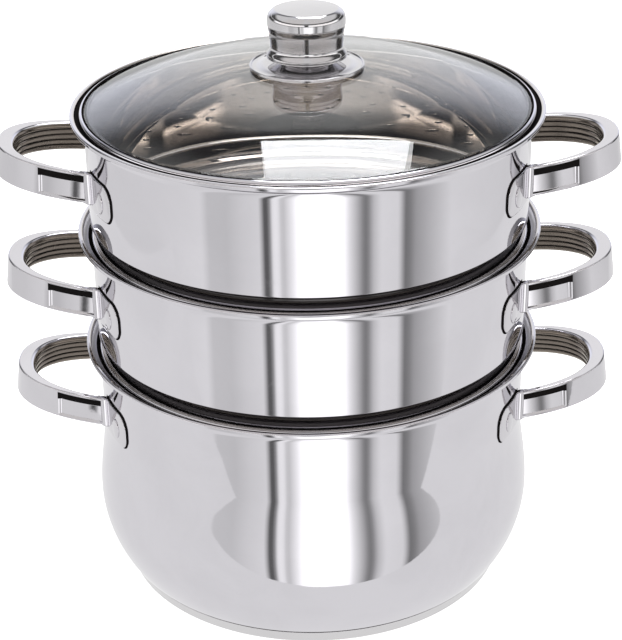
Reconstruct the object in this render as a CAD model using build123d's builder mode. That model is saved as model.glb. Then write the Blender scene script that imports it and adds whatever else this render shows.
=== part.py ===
"""Three-tier steamer pot: a bellied stockpot, two steamer tiers and a domed glass lid.

Millimetres, +Z up, origin on the axis at the underside of the base.
The handles lie along X and the front of the pot faces -Y.
"""

import os
from math import asin, atan2, cos, radians, sin, sqrt

from build123d import *

os.makedirs("parts", exist_ok=True)

# Driving sizes of the stack
SHEET = 0.8
WALL_R = 120.0
WALL_IN_R = WALL_R - SHEET
LIP_R = 127.0
POT_RIM_Z = 140.0
TIER_PITCH = 66.5
LOWER_RIM_Z = POT_RIM_Z + TIER_PITCH
UPPER_RIM_Z = LOWER_RIM_Z + TIER_PITCH

# Lip, measured from its crest: a quarter-round flare that ends in a folded hem
FLARE_R = 7.0
FLARE_START = -8.4
FLARE_TURN = radians(75)
HEM_IN_R = 124.4
HEM_ROUND = 0.9
HEM_FOOT_ROUND = 0.45
HEM_DEPTH = 2.4

# Stockpot: straight under the lip, swelling to the belly, then drawn in to the floor
WALL_END_Z = 95.0
BELLY_Z = 47.0
BELLY_R = 124.6
BELLY_ARC_R = 67.0
BELLY_END_Z = 9.8
FLOOR_Z = 7.0
FLOOR_CORNER_R = 107.0

# Encapsulated base: an aluminium heat disc under a steel cap
CAP_TOP_R = 110.6
CAP_FOOT_R = 110.0
CAP_ROUND = 2.6
CAP_SHEET = 0.6
CAP_LIP_Z = 7.4
CAP_LIP_R = 111.3

# Nesting foot of a steamer tier, measured down from its own lip crest
STEP_Z = 61.0
STEP_ROUND = 1.2
GROOVE_ROUND = 0.8
GROOVE_R = WALL_R - STEP_ROUND - GROOVE_ROUND
BEAD_Z = TIER_PITCH + 4.1
BEAD_BULGE = 2.0
BEAD_HALF = 1.3
BEAD_FILL = 1.1
TIER_FLOOR_Z = TIER_PITCH + 14.0
NEST_CORNER = 6.0
FLOOR_STEP_R = 104.0
FLOOR_STEP_RUN = 1.6
FLOOR_STEP_RISE = 1.2

# Steam holes in the tier floors: one in the middle and rings of evenly spaced ones
HOLE_R = 2.0
HOLE_RING_STEP = 17.5
HOLE_RINGS = 5
HOLES_PER_RING = 6

# Handles: a hollow D-shaped loop, tipped up at its outer end
HANDLE_START_X = 103.0
HANDLE_REACH = 65.0
HANDLE_HALF_WIDTH = 42.0
HANDLE_POWER = 2.3
HANDLE_TILT = radians(7.5)
HANDLE_HEIGHT = 16.4
HANDLE_TOP_DROP = 25.3
HANDLE_THICK_OUTER = 9.5
HANDLE_THICK_LEG = 5.0
HANDLE_SHEET = 1.0
HANDLE_EDGE_ROUND = 0.8
HANDLE_INNER_ROUND = 1.8
LOOP_ANGLES = (70, 50, 30, 12)
RIB_GROOVES = 4
RIB_PITCH = 3.0
RIB_GROOVE_DEPTH = 0.5
RIB_GROOVE_WIDTH = 0.9
LEG_END_R = 123.6

# Brackets that join each leg to the wall, each with an oval weld button
EAR_FACE_R = 121.2
EAR_LENGTH = 30.0
EAR_TOP_DROP = 23.6
EAR_BOTTOM_DROP = 43.6
EAR_TOP_ROUND = 9.0
EAR_FOOT_ROUND = 6.5
EAR_ANGLE = 25.5
BUTTON_ANGLE = 26.7
BUTTON_DROP = 35.0
BUTTON_HALF_WIDTH = 4.2
BUTTON_HALF_HEIGHT = 5.8
BUTTON_FACE_R = EAR_FACE_R + 0.8
BUTTON_ROUND = 0.5
PIECE_GAP = 0.02

# Glass lid, measured up from the crest of the upper lip
BAND_R = 122.2
BAND_IN_R = 119.2
BAND_TOP = 1.0
BAND_BOTTOM = -3.3
BAND_SHEET = 0.5
BAND_ROUND = (BAND_TOP - BAND_BOTTOM) / 2
BAND_ROUND_R = BAND_R - BAND_ROUND
GLASS_TOP = BAND_TOP - BAND_SHEET
GLASS_THICK = GLASS_TOP - BAND_BOTTOM - BAND_SHEET
CROWN_TOP = 20.8
CROWN_ARC_R = 405.0
CROWN_END_R = 80.0
SHOULDER_END_R = 118.6
SHOULDER_END_IN_R = 116.9
GLASS_HOLE_R = 5.0

# Knob and its fixings, measured up from the crest of the upper lip
SCREW_R = 2.5
SCREW_TIP = 37.0
SCREW_HEAD_R = 4.6
SCREW_HEAD_HEIGHT = 2.6
SCREW_HEAD_ROUND = 2.0
SCREW_SLOT = 1.2
SCREW_TIP_CHAMFER = 0.6
WASHER_R = 7.0
WASHER_THICK = 1.0
WASHER_ROUND = 0.3
BUSH_FLANGE_R = 8.0
BUSH_FLANGE = 1.0
DISH_FLOOR = CROWN_TOP + 0.6
DISH_SHEET = 0.6
DISH_FLAT_R = 22.0
DISH_R = 30.6
DISH_ROLL = 21.1
DISH_ROLL_R = 0.6
DISH_ROLL_WAY = (1, 0.2)
DISH_HEM = 20.1
CUP_FLOOR = DISH_FLOOR + DISH_SHEET
CUP_SHEET = 0.8
CUP_FOOT_R = 14.4
CUP_FOOT_ROUND = 0.8
CUP_LIP_R = 21.5
CUP_LIP = 26.6
CAP_SKIRT_R = 21.3
CAP_SKIRT = CUP_LIP
CAP_WAIST_R = 19.35
CAP_WAIST = 31.6
CAP_SIDE_R = 20.1
CAP_SIDE = 39.4
CAP_WIDE_R = 20.8
CAP_WIDE = 44.0
CAP_BEND_R = 19.7
CAP_BEND = 49.2
CAP_SHOULDER_R = 16.4
CAP_SHOULDER = 51.2
CAP_TOP = 52.0
CAP_SHELL = 0.8
CORE_TOP = 44.0
CORE_R = 17.4
NUT_FLATS = 9.0
NUT_BOTTOM = 28.0
NUT_TOP = 34.0


def finish(builder, name):
    """Label the finished piece and write it to its own file."""
    builder.part.label = name
    export_step(builder.part, f"parts/{name}.step")


def flare_point(radius, angle, rim_z):
    """Point of the flare's round, whose centre lies out under the hem."""
    centre_r = WALL_IN_R + FLARE_R
    return (centre_r - radius * cos(angle), rim_z + FLARE_START + radius * sin(angle))


def draw_lip(rim_z):
    """Draw the lip from the inner wall up over the hem and down to the outer wall."""
    thin_r = FLARE_R - SHEET
    half_turn = FLARE_TURN / 2
    inner_foot = flare_point(FLARE_R, 0, rim_z)
    inner_end = flare_point(FLARE_R, FLARE_TURN, rim_z)
    outer_end = flare_point(thin_r, FLARE_TURN, rim_z)
    outer_foot = flare_point(thin_r, 0, rim_z)
    ThreePointArc(inner_foot, flare_point(FLARE_R, half_turn, rim_z), inner_end)
    Line(inner_end, (HEM_IN_R, rim_z - HEM_ROUND))
    JernArc((HEM_IN_R, rim_z - HEM_ROUND), (0, 1), HEM_ROUND, -90)
    Line((HEM_IN_R + HEM_ROUND, rim_z), (LIP_R - HEM_ROUND, rim_z))
    JernArc((LIP_R - HEM_ROUND, rim_z), (1, 0), HEM_ROUND, -90)
    hem_side = (LIP_R, rim_z - HEM_DEPTH + HEM_FOOT_ROUND)
    Line((LIP_R, rim_z - HEM_ROUND), hem_side)
    JernArc(hem_side, (0, -1), HEM_FOOT_ROUND, -90)
    Line((LIP_R - HEM_FOOT_ROUND, rim_z - HEM_DEPTH), outer_end)
    ThreePointArc(outer_end, flare_point(thin_r, half_turn, rim_z), outer_foot)
    return inner_foot, outer_foot


def draw_pot_side(inset, foot_z):
    """Draw one skin of the pot's side, from under the lip to the middle of the floor."""
    arc_r = BELLY_ARC_R - inset
    drop = asin((BELLY_Z - BELLY_END_Z) / BELLY_ARC_R)
    belly_top = (BELLY_R - inset, BELLY_Z)
    centre_r = BELLY_R - BELLY_ARC_R
    belly_mid = (centre_r + arc_r * cos(drop / 2), BELLY_Z - arc_r * sin(drop / 2))
    belly_end = (centre_r + arc_r * cos(drop), BELLY_Z - arc_r * sin(drop))
    floor_edge = (FLOOR_CORNER_R, FLOOR_Z + inset)
    Line((WALL_R - inset, foot_z), (WALL_R - inset, WALL_END_Z))
    Spline((WALL_R - inset, WALL_END_Z), belly_top, tangents=[(0, -1), (0, -1)])
    ThreePointArc(belly_top, belly_mid, belly_end)
    Spline(belly_end, floor_edge, tangents=[(-sin(drop), -cos(drop)), (-1, 0)])
    Line(floor_edge, (0, FLOOR_Z + inset))


def make_stockpot_body():
    with BuildPart() as pot:
        with BuildSketch(Plane.XZ):
            with BuildLine():
                inner_foot, outer_foot = draw_lip(POT_RIM_Z)
                draw_pot_side(0, outer_foot[1])
                draw_pot_side(SHEET, inner_foot[1])
                Line((0, FLOOR_Z), (0, FLOOR_Z + SHEET))
            make_face()
        revolve(axis=Axis.Z)
    finish(pot, "stockpot_body")


def draw_base_side(inset, top_r, top_z):
    """Draw the base's outline from the middle of its foot to its upper edge."""
    foot_r = CAP_FOOT_R - inset
    round_r = CAP_ROUND - inset
    Line((0, inset), (foot_r - round_r, inset))
    JernArc((foot_r - round_r, inset), (1, 0), round_r, 90)
    Line((foot_r, inset + round_r), (top_r, top_z))


def make_base():
    """Heat disc, and the steel cap pressed over it with its lip round the pot's corner."""
    disc_top_r = CAP_TOP_R - CAP_SHEET
    with BuildPart() as disc:
        with BuildSketch(Plane.XZ):
            with BuildLine():
                draw_base_side(CAP_SHEET, disc_top_r, FLOOR_Z)
                Line((disc_top_r, FLOOR_Z), (0, FLOOR_Z))
                Line((0, FLOOR_Z), (0, CAP_SHEET))
            make_face()
        revolve(axis=Axis.Z)
    finish(disc, "stockpot_heat_disc")
    with BuildPart() as cap:
        with BuildSketch(Plane.XZ):
            with BuildLine():
                draw_base_side(0, CAP_LIP_R, CAP_LIP_Z)
                draw_base_side(CAP_SHEET, disc_top_r, FLOOR_Z)
                Line((disc_top_r, FLOOR_Z), (CAP_LIP_R - CAP_SHEET, CAP_LIP_Z))
                Line((CAP_LIP_R - CAP_SHEET, CAP_LIP_Z), (CAP_LIP_R, CAP_LIP_Z))
                Line((0, 0), (0, CAP_SHEET))
            make_face()
        revolve(axis=Axis.Z)
    finish(cap, "stockpot_base_cap")


def draw_nest(rim_z, inset):
    """Draw one skin of a tier's foot: step in, groove, stacking bead, corner, floor."""
    step_centre_z = rim_z - STEP_Z + STEP_ROUND
    groove_r = GROOVE_R - inset
    JernArc((WALL_R - inset, step_centre_z), (0, -1), STEP_ROUND - inset, -90)
    groove_start = (WALL_R - STEP_ROUND, rim_z - STEP_Z + inset)
    JernArc(groove_start, (-1, 0), GROOVE_ROUND + inset, 90)
    bead_z = rim_z - BEAD_Z
    floor_z = rim_z - TIER_FLOOR_Z + inset
    corner_r = NEST_CORNER - inset
    fill = inset / SHEET
    bead_half = BEAD_HALF - fill * BEAD_FILL / 2
    bead_crest = (groove_r + BEAD_BULGE - fill * BEAD_FILL, bead_z)
    Line((groove_r, rim_z - STEP_Z - GROOVE_ROUND), (groove_r, bead_z + bead_half))
    ThreePointArc((groove_r, bead_z + bead_half), bead_crest, (groove_r, bead_z - bead_half))
    Line((groove_r, bead_z - bead_half), (groove_r, floor_z + corner_r))
    JernArc((groove_r, floor_z + corner_r), (0, -1), corner_r, -90)
    step_in_r = FLOOR_STEP_R - FLOOR_STEP_RUN
    Polyline(
        (groove_r - corner_r, floor_z),
        (FLOOR_STEP_R, floor_z),
        (step_in_r, floor_z + FLOOR_STEP_RISE),
        (0, floor_z + FLOOR_STEP_RISE),
    )
    return floor_z + FLOOR_STEP_RISE


def make_tier_body(tier, rim_z):
    with BuildPart() as body:
        with BuildSketch(Plane.XZ):
            with BuildLine():
                inner_foot, outer_foot = draw_lip(rim_z)
                wall_end_z = rim_z - STEP_Z + STEP_ROUND
                Line(outer_foot, (WALL_R, wall_end_z))
                Line(inner_foot, (WALL_IN_R, wall_end_z))
                under_z = draw_nest(rim_z, 0)
                over_z = draw_nest(rim_z, SHEET)
                Line((0, under_z), (0, over_z))
            make_face()
        revolve(axis=Axis.Z)
        with BuildSketch(Plane.XY.offset(under_z)):
            Circle(HOLE_R)
            for ring in range(1, HOLE_RINGS + 1):
                with PolarLocations(ring * HOLE_RING_STEP, ring * HOLES_PER_RING):
                    Circle(HOLE_R)
        extrude(amount=SHEET, mode=Mode.SUBTRACT)
    finish(body, f"{tier}_body")


def loop_point(reach, half_width, angle):
    """Point of the handle's superellipse outline at an angle from its outer end."""
    power = 2 / HANDLE_POWER
    turn = radians(angle)
    return (reach * cos(turn) ** power, half_width * sin(turn) ** power)


def draw_loop(reach, half_width):
    """Draw a superellipse half-loop, whose two legs end square at its own x = 0."""
    for side in (-1, 1):
        leg = (0, side * half_width)
        points = [loop_point(reach, side * half_width, angle) for angle in LOOP_ANGLES]
        Spline(leg, *points, (reach, 0), tangents=[(1, 0), (0, -side)])


def handle_plane(side, rim_z):
    """Plane of the handle's top face, running outwards and up from inside the wall."""
    tilt_x, tilt_z = cos(HANDLE_TILT), sin(HANDLE_TILT)
    return Plane(
        origin=(side * HANDLE_START_X, 0, rim_z - HANDLE_TOP_DROP),
        x_dir=(side * tilt_x, 0, tilt_z),
        z_dir=(-side * tilt_z, 0, tilt_x),
    )


def add_loop(plane, outer, inner, top, height, mode):
    """Extrude the band between two half-loops down from a height below the top face."""
    with BuildSketch(plane.offset(-top)) as band:
        with BuildLine():
            draw_loop(*outer)
            draw_loop(*inner)
            Line((0, inner[1]), (0, outer[1]))
            Line((0, -inner[1]), (0, -outer[1]))
        make_face()
    extrude(band.sketch, amount=-height, mode=mode)


def add_handle_block(plane):
    """Add the handle's full section, rounded along its long edges."""
    outer = (HANDLE_REACH, HANDLE_HALF_WIDTH)
    inner = (HANDLE_REACH - HANDLE_THICK_OUTER, HANDLE_HALF_WIDTH - HANDLE_THICK_LEG)
    add_loop(plane, outer, inner, 0, HANDLE_HEIGHT, Mode.ADD)


def round_handle(builder):
    """Round the two outer long edges a little and the two inner ones more."""
    long_edges = builder.edges().filter_by(lambda e: e.length > HANDLE_REACH).sort_by(SortBy.LENGTH)
    fillet(long_edges[:2], HANDLE_INNER_ROUND)
    long_edges = builder.edges().filter_by(lambda e: e.length > HANDLE_REACH).sort_by(SortBy.LENGTH)
    fillet(long_edges[-2:], HANDLE_EDGE_ROUND)


def cut_column(radius, rim_z, mode):
    """Cut with a round column on the pot's axis, tall enough to pass the whole handle."""
    with BuildSketch(Plane.XY.offset(rim_z - TIER_PITCH)) as column:
        Circle(radius)
    extrude(column.sketch, amount=2 * TIER_PITCH, mode=mode)


def make_handle(tier, side_name, side, rim_z):
    plane = handle_plane(side, rim_z)
    inner_reach = HANDLE_REACH - HANDLE_THICK_OUTER
    inner_half = HANDLE_HALF_WIDTH - HANDLE_THICK_LEG
    with BuildPart() as handle:
        add_handle_block(plane)
        round_handle(handle)
        cavity_outer = (HANDLE_REACH - HANDLE_SHEET, HANDLE_HALF_WIDTH - HANDLE_SHEET)
        cavity_inner = (inner_reach + HANDLE_SHEET, inner_half + HANDLE_SHEET)
        cavity_height = HANDLE_HEIGHT - 2 * HANDLE_SHEET
        add_loop(plane, cavity_outer, cavity_inner, HANDLE_SHEET, cavity_height, Mode.SUBTRACT)
        first_groove = (HANDLE_HEIGHT - (RIB_GROOVES - 1) * RIB_PITCH - RIB_GROOVE_WIDTH) / 2
        groove_outer = (inner_reach + RIB_GROOVE_DEPTH, inner_half + RIB_GROOVE_DEPTH)
        groove_inner = (inner_reach - HANDLE_SHEET, inner_half - HANDLE_SHEET)
        for groove in range(RIB_GROOVES):
            top = first_groove + groove * RIB_PITCH
            add_loop(plane, groove_outer, groove_inner, top, RIB_GROOVE_WIDTH, Mode.SUBTRACT)
        cut_column(LEG_END_R, rim_z, Mode.SUBTRACT)
    finish(handle, f"{tier}_{side_name}_handle")


def ear_outline(side, end, rim_z):
    """Face of the ear as seen square on to the wall, its free end well rounded."""
    middle_z = rim_z - (EAR_TOP_DROP + EAR_BOTTOM_DROP) / 2
    half_h = (EAR_BOTTOM_DROP - EAR_TOP_DROP) / 2
    half_l = EAR_LENGTH / 2
    with BuildSketch(wall_plane(side, end, EAR_ANGLE, middle_z)) as outline:
        with BuildLine():
            Polyline((half_l - EAR_TOP_ROUND, half_h), (-half_l, half_h), (-half_l, -half_h))
            Line((-half_l, -half_h), (half_l - EAR_FOOT_ROUND, -half_h))
            JernArc((half_l - EAR_FOOT_ROUND, -half_h), (1, 0), EAR_FOOT_ROUND, 90)
            Line((half_l, EAR_FOOT_ROUND - half_h), (half_l, half_h - EAR_TOP_ROUND))
            JernArc((half_l, half_h - EAR_TOP_ROUND), (0, 1), EAR_TOP_ROUND, 90)
        make_face()
    return outline.sketch


def make_bracket(tier, side_name, side, end_name, end, rim_z):
    """Ear that hugs the wall beside one leg, with the socket that closes the leg's end."""
    with BuildPart() as socket:
        add_handle_block(handle_plane(side, rim_z))
        cut_column(LEG_END_R - PIECE_GAP, rim_z, Mode.INTERSECT)
        split(bisect_by=Plane.XZ, keep=Keep.BOTTOM if end > 0 else Keep.TOP)
    with BuildPart() as bracket:
        extrude(ear_outline(side, end, rim_z), amount=LEG_END_R)
        cut_column(EAR_FACE_R, rim_z, Mode.INTERSECT)
        add(socket.part)
        cut_column(WALL_R + PIECE_GAP, rim_z, Mode.SUBTRACT)
    finish(bracket, f"{tier}_{side_name}_{end_name}_bracket")


def make_weld_buttons(tier, side_name, side, rim_z):
    """Oval buttons pressed up from the middle of the two ears of one handle."""
    with BuildPart() as buttons:
        for end in (-1, 1):
            with BuildSketch(wall_plane(side, end, BUTTON_ANGLE, rim_z - BUTTON_DROP)):
                Ellipse(BUTTON_HALF_WIDTH, BUTTON_HALF_HEIGHT)
            extrude(amount=BUTTON_FACE_R)
        fillet(buttons.faces().group_by(Axis.X)[-1 if side > 0 else 0].edges(), BUTTON_ROUND)
        cut_column(EAR_FACE_R, rim_z, Mode.SUBTRACT)
    finish(buttons, f"{tier}_{side_name}_weld_buttons")


def wall_plane(side, end, angle, height):
    """Plane through the axis whose normal points out of the wall at an angle from X."""
    turn = radians(angle)
    return Plane(
        origin=(0, 0, height),
        x_dir=(-side * sin(turn), end * cos(turn), 0),
        z_dir=(side * cos(turn), end * sin(turn), 0),
    )


def crown_z(radius, drop):
    """Height of the lid's crown arc at a radius, for the skin lying drop below its top."""
    arc_r = CROWN_ARC_R - drop
    return UPPER_RIM_Z + CROWN_TOP - CROWN_ARC_R + sqrt(arc_r**2 - radius**2)


def draw_dome(drop, end_r, end_z):
    """Draw one skin of the dome from the knob's hole to the foot of its shoulder."""
    crown_end_angle = asin(CROWN_END_R / CROWN_ARC_R)
    crown_end_r = CROWN_END_R - drop * sin(crown_end_angle)
    crown_end = (crown_end_r, crown_z(crown_end_r, drop))
    crown_mid = (crown_end_r / 2, crown_z(crown_end_r / 2, drop))
    ThreePointArc((GLASS_HOLE_R, crown_z(GLASS_HOLE_R, drop)), crown_mid, crown_end)
    TangentArc(crown_end, (end_r, end_z), tangent=(cos(crown_end_angle), -sin(crown_end_angle)))


def make_lid_glass():
    top_z = UPPER_RIM_Z + GLASS_TOP
    foot_z = top_z - GLASS_THICK
    with BuildPart() as glass:
        with BuildSketch(Plane.XZ):
            with BuildLine():
                draw_dome(0, SHOULDER_END_R, top_z)
                Line((SHOULDER_END_R, top_z), (BAND_ROUND_R, top_z))
                JernArc((BAND_ROUND_R, top_z), (1, 0), GLASS_THICK / 2, -180)
                Line((BAND_ROUND_R, foot_z), (SHOULDER_END_IN_R, foot_z))
                draw_dome(GLASS_THICK, SHOULDER_END_IN_R, foot_z)
                hole_top = (GLASS_HOLE_R, crown_z(GLASS_HOLE_R, 0))
                Line(hole_top, (GLASS_HOLE_R, crown_z(GLASS_HOLE_R, GLASS_THICK)))
            make_face()
        revolve(axis=Axis.Z)
    finish(glass, "lid_glass")


def draw_band(round_start_r, top_z, bottom_z):
    """Draw one skin of the band, from its upper inner edge round to its lower one."""
    Line((BAND_IN_R, top_z), (round_start_r, top_z))
    JernArc((round_start_r, top_z), (1, 0), (top_z - bottom_z) / 2, -180)
    Line((round_start_r, bottom_z), (BAND_IN_R, bottom_z))


def make_lid_band():
    """Steel band bent half round the edge of the glass, open towards the middle."""
    top_z = UPPER_RIM_Z + BAND_TOP
    bottom_z = UPPER_RIM_Z + BAND_BOTTOM
    inner_top_z = top_z - BAND_SHEET
    inner_bottom_z = bottom_z + BAND_SHEET
    with BuildPart() as band:
        with BuildSketch(Plane.XZ):
            with BuildLine():
                draw_band(BAND_ROUND_R, top_z, bottom_z)
                draw_band(BAND_ROUND_R + PIECE_GAP, inner_top_z, inner_bottom_z)
                Line((BAND_IN_R, top_z), (BAND_IN_R, inner_top_z))
                Line((BAND_IN_R, bottom_z), (BAND_IN_R, inner_bottom_z))
            make_face()
        revolve(axis=Axis.Z)
    finish(band, "lid_rim_band")


def make_glass_bush():
    """Silicone bush: a sleeve in the glass with a flange on each side of it."""
    under_z = crown_z(BUSH_FLANGE_R, GLASS_THICK) - PIECE_GAP
    over_z = crown_z(0, 0) + PIECE_GAP
    with BuildPart() as bush:
        with BuildSketch(Plane.XY.offset(under_z - BUSH_FLANGE)):
            Circle(BUSH_FLANGE_R)
        extrude(amount=BUSH_FLANGE)
        with BuildSketch(Plane.XY.offset(under_z)):
            Circle(GLASS_HOLE_R - PIECE_GAP)
        extrude(amount=over_z - under_z)
        with BuildSketch(Plane.XY.offset(over_z)):
            Circle(BUSH_FLANGE_R)
        extrude(amount=UPPER_RIM_Z + DISH_FLOOR - over_z)
        with BuildSketch(Plane.XY.offset(under_z - BUSH_FLANGE)):
            Circle(SCREW_R)
        extrude(amount=UPPER_RIM_Z + DISH_FLOOR - under_z + BUSH_FLANGE, mode=Mode.SUBTRACT)
    finish(bush, "lid_glass_bush")
    return under_z - BUSH_FLANGE


def make_screw(under_bush_z):
    """Washer and dome-headed screw under the glass."""
    washer_z = under_bush_z - WASHER_THICK
    with BuildPart() as washer:
        with BuildSketch(Plane.XY.offset(washer_z)):
            Circle(WASHER_R)
            Circle(SCREW_R, mode=Mode.SUBTRACT)
        extrude(amount=WASHER_THICK)
        fillet(washer.edges().group_by(Axis.Z)[0].sort_by(SortBy.RADIUS)[-1], WASHER_ROUND)
    finish(washer, "lid_screw_washer")
    with BuildPart() as screw:
        with BuildSketch(Plane.XY.offset(washer_z)):
            Circle(SCREW_HEAD_R)
        extrude(amount=-SCREW_HEAD_HEIGHT)
        fillet(screw.faces().sort_by(Axis.Z)[0].edges(), SCREW_HEAD_ROUND)
        with BuildSketch(Plane.XY.offset(washer_z - SCREW_HEAD_HEIGHT)):
            Rectangle(SCREW_HEAD_R, SCREW_SLOT)
            Rectangle(SCREW_SLOT, SCREW_HEAD_R)
        extrude(amount=SCREW_HEAD_HEIGHT / 2, mode=Mode.SUBTRACT)
        with BuildSketch(Plane.XY.offset(washer_z)):
            Circle(SCREW_R)
        extrude(amount=UPPER_RIM_Z + SCREW_TIP - washer_z)
        chamfer(screw.faces().sort_by(Axis.Z)[-1].edges(), SCREW_TIP_CHAMFER)
    finish(screw, "lid_screw")


def make_knob_dish():
    """Shallow steel dish that the knob stands in, its rim rolled over close to the glass."""
    floor_z, roll_z = UPPER_RIM_Z + DISH_FLOOR, UPPER_RIM_Z + DISH_ROLL
    hem_z = UPPER_RIM_Z + DISH_HEM
    with BuildPart() as dish:
        with BuildSketch(Plane.XZ):
            with BuildLine():
                flat_end = (DISH_FLAT_R, floor_z + DISH_SHEET)
                roll_start = (DISH_R - 2 * DISH_ROLL_R, roll_z)
                Line((SCREW_R, floor_z + DISH_SHEET), flat_end)
                Spline(flat_end, roll_start, tangents=[(1, 0), DISH_ROLL_WAY])
                roll_top = (DISH_R - DISH_ROLL_R, roll_z + DISH_ROLL_R)
                ThreePointArc(roll_start, roll_top, (DISH_R, roll_z))
                Polyline((DISH_R, roll_z), (DISH_R, hem_z), (DISH_R - DISH_SHEET, hem_z))
                inner_roll = (DISH_R - DISH_SHEET, roll_z - DISH_SHEET)
                Line((DISH_R - DISH_SHEET, hem_z), inner_roll)
                flat_under = (DISH_FLAT_R, floor_z)
                Spline(flat_under, inner_roll, tangents=[(1, 0), DISH_ROLL_WAY])
                Line(flat_under, (SCREW_R, floor_z))
                Line((SCREW_R, floor_z), (SCREW_R, floor_z + DISH_SHEET))
            make_face()
        revolve(axis=Axis.Z)
    finish(dish, "knob_dish")


def draw_cup(inset):
    """Draw one skin of the knob's cup: flat foot, rounded, then flaring to its lip."""
    foot_z = UPPER_RIM_Z + CUP_FLOOR + inset
    foot_r = CUP_FOOT_R - CUP_FOOT_ROUND
    lip = (CUP_LIP_R - 2 * inset, UPPER_RIM_Z + CUP_LIP)
    flare_start = (CUP_FOOT_R - inset, foot_z + CUP_FOOT_ROUND)
    Line((SCREW_R, foot_z), (foot_r - inset, foot_z))
    Spline((foot_r - inset, foot_z), flare_start, tangents=[(1, 0), (1, 1)])
    Line(flare_start, lip)
    return lip


def make_knob_cup():
    with BuildPart() as cup:
        with BuildSketch(Plane.XZ):
            with BuildLine():
                outer_lip = draw_cup(0)
                inner_lip = draw_cup(CUP_SHEET)
                Line(outer_lip, inner_lip)
                foot_z = UPPER_RIM_Z + CUP_FLOOR
                Line((SCREW_R, foot_z), (SCREW_R, foot_z + CUP_SHEET))
            make_face()
        revolve(axis=Axis.Z)
    finish(cup, "knob_cup")


def draw_cap(inset):
    """Draw one skin of the knob's cap: skirt, waist, side, shoulder, crown."""
    skirt = (CAP_SKIRT_R - inset, UPPER_RIM_Z + CAP_SKIRT)
    waist = (CAP_WAIST_R - inset, UPPER_RIM_Z + CAP_WAIST)
    flank = (CAP_SIDE_R - inset, UPPER_RIM_Z + CAP_SIDE)
    wide = (CAP_WIDE_R - inset, UPPER_RIM_Z + CAP_WIDE)
    slant = inset / sqrt(2)
    bend = (CAP_BEND_R - slant, UPPER_RIM_Z + CAP_BEND - slant)
    shoulder = (CAP_SHOULDER_R, UPPER_RIM_Z + CAP_SHOULDER - inset)
    crown = (0, UPPER_RIM_Z + CAP_TOP - inset)
    slope = 2 * atan2(CAP_TOP - CAP_SHOULDER, CAP_SHOULDER_R)
    Spline(skirt, waist, flank, wide, tangents=[(-1, 0.9), (0, 1)])
    Spline(wide, bend, shoulder, tangents=[(0, 1), (-cos(slope), sin(slope))])
    TangentArc(crown, shoulder, tangent=(1, 0))
    return skirt, crown


def make_knob_cap():
    with BuildPart() as cap:
        with BuildSketch(Plane.XZ):
            with BuildLine():
                outer_skirt, outer_crown = draw_cap(0)
                inner_skirt, inner_crown = draw_cap(CAP_SHELL)
                Line(outer_skirt, inner_skirt)
                Line(outer_crown, inner_crown)
            make_face()
        revolve(axis=Axis.Z)
    finish(cap, "knob_cap")


def make_knob_core():
    """Moulded plug inside the knob, with the nut that the screw pulls on."""
    foot_z = UPPER_RIM_Z + CUP_FLOOR + CUP_SHEET
    core_foot_r = CUP_FOOT_R - 2 * CUP_FOOT_ROUND - CUP_SHEET
    core_side_z = UPPER_RIM_Z + CUP_LIP
    with BuildPart() as core:
        with BuildSketch(Plane.XZ):
            with BuildLine():
                Polyline(
                    (0, foot_z),
                    (core_foot_r, foot_z),
                    (CORE_R, core_side_z),
                    (CORE_R, UPPER_RIM_Z + CORE_TOP),
                    (0, UPPER_RIM_Z + CORE_TOP),
                    close=True,
                )
            make_face()
        revolve(axis=Axis.Z)
        with BuildSketch(Plane.XY.offset(foot_z)):
            Circle(SCREW_R)
        extrude(amount=UPPER_RIM_Z + SCREW_TIP + SCREW_R - foot_z, mode=Mode.SUBTRACT)
        with BuildSketch(Plane.XY.offset(UPPER_RIM_Z + NUT_BOTTOM)):
            RegularPolygon(NUT_FLATS / 2, 6, major_radius=False)
        extrude(amount=NUT_TOP - NUT_BOTTOM, mode=Mode.SUBTRACT)
    finish(core, "knob_core")
    with BuildPart() as nut:
        with BuildSketch(Plane.XY.offset(UPPER_RIM_Z + NUT_BOTTOM)):
            RegularPolygon(NUT_FLATS / 2, 6, major_radius=False)
            Circle(SCREW_R, mode=Mode.SUBTRACT)
        extrude(amount=NUT_TOP - NUT_BOTTOM)
    finish(nut, "knob_nut")


make_stockpot_body()
make_base()
for tier_name, tier_rim_z in (("lower_steamer", LOWER_RIM_Z), ("upper_steamer", UPPER_RIM_Z)):
    make_tier_body(tier_name, tier_rim_z)
for tier_name, tier_rim_z in (
    ("stockpot", POT_RIM_Z),
    ("lower_steamer", LOWER_RIM_Z),
    ("upper_steamer", UPPER_RIM_Z),
):
    for side_name, side in (("left", -1), ("right", 1)):
        make_handle(tier_name, side_name, side, tier_rim_z)
        make_bracket(tier_name, side_name, side, "front", -1, tier_rim_z)
        make_bracket(tier_name, side_name, side, "back", 1, tier_rim_z)
        make_weld_buttons(tier_name, side_name, side, tier_rim_z)
make_lid_glass()
make_lid_band()
make_screw(make_glass_bush())
make_knob_dish()
make_knob_cup()
make_knob_cap()
make_knob_core()
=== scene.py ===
# %% [markdown]
# # A three-tier steamer pot
# The pot stands as four bodies: a bellied stockpot, two steamer tiers and a glass lid.
# Their measured solids are loaded first and stay where they are. The steps that follow
# lay a finer skin over each one, in the same place: rolled lips, ribbed handles, pressed
# ears, a polished knob and clear glass, each with its own finish.

import bpy
import numpy as np
from mathutils import Matrix


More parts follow.
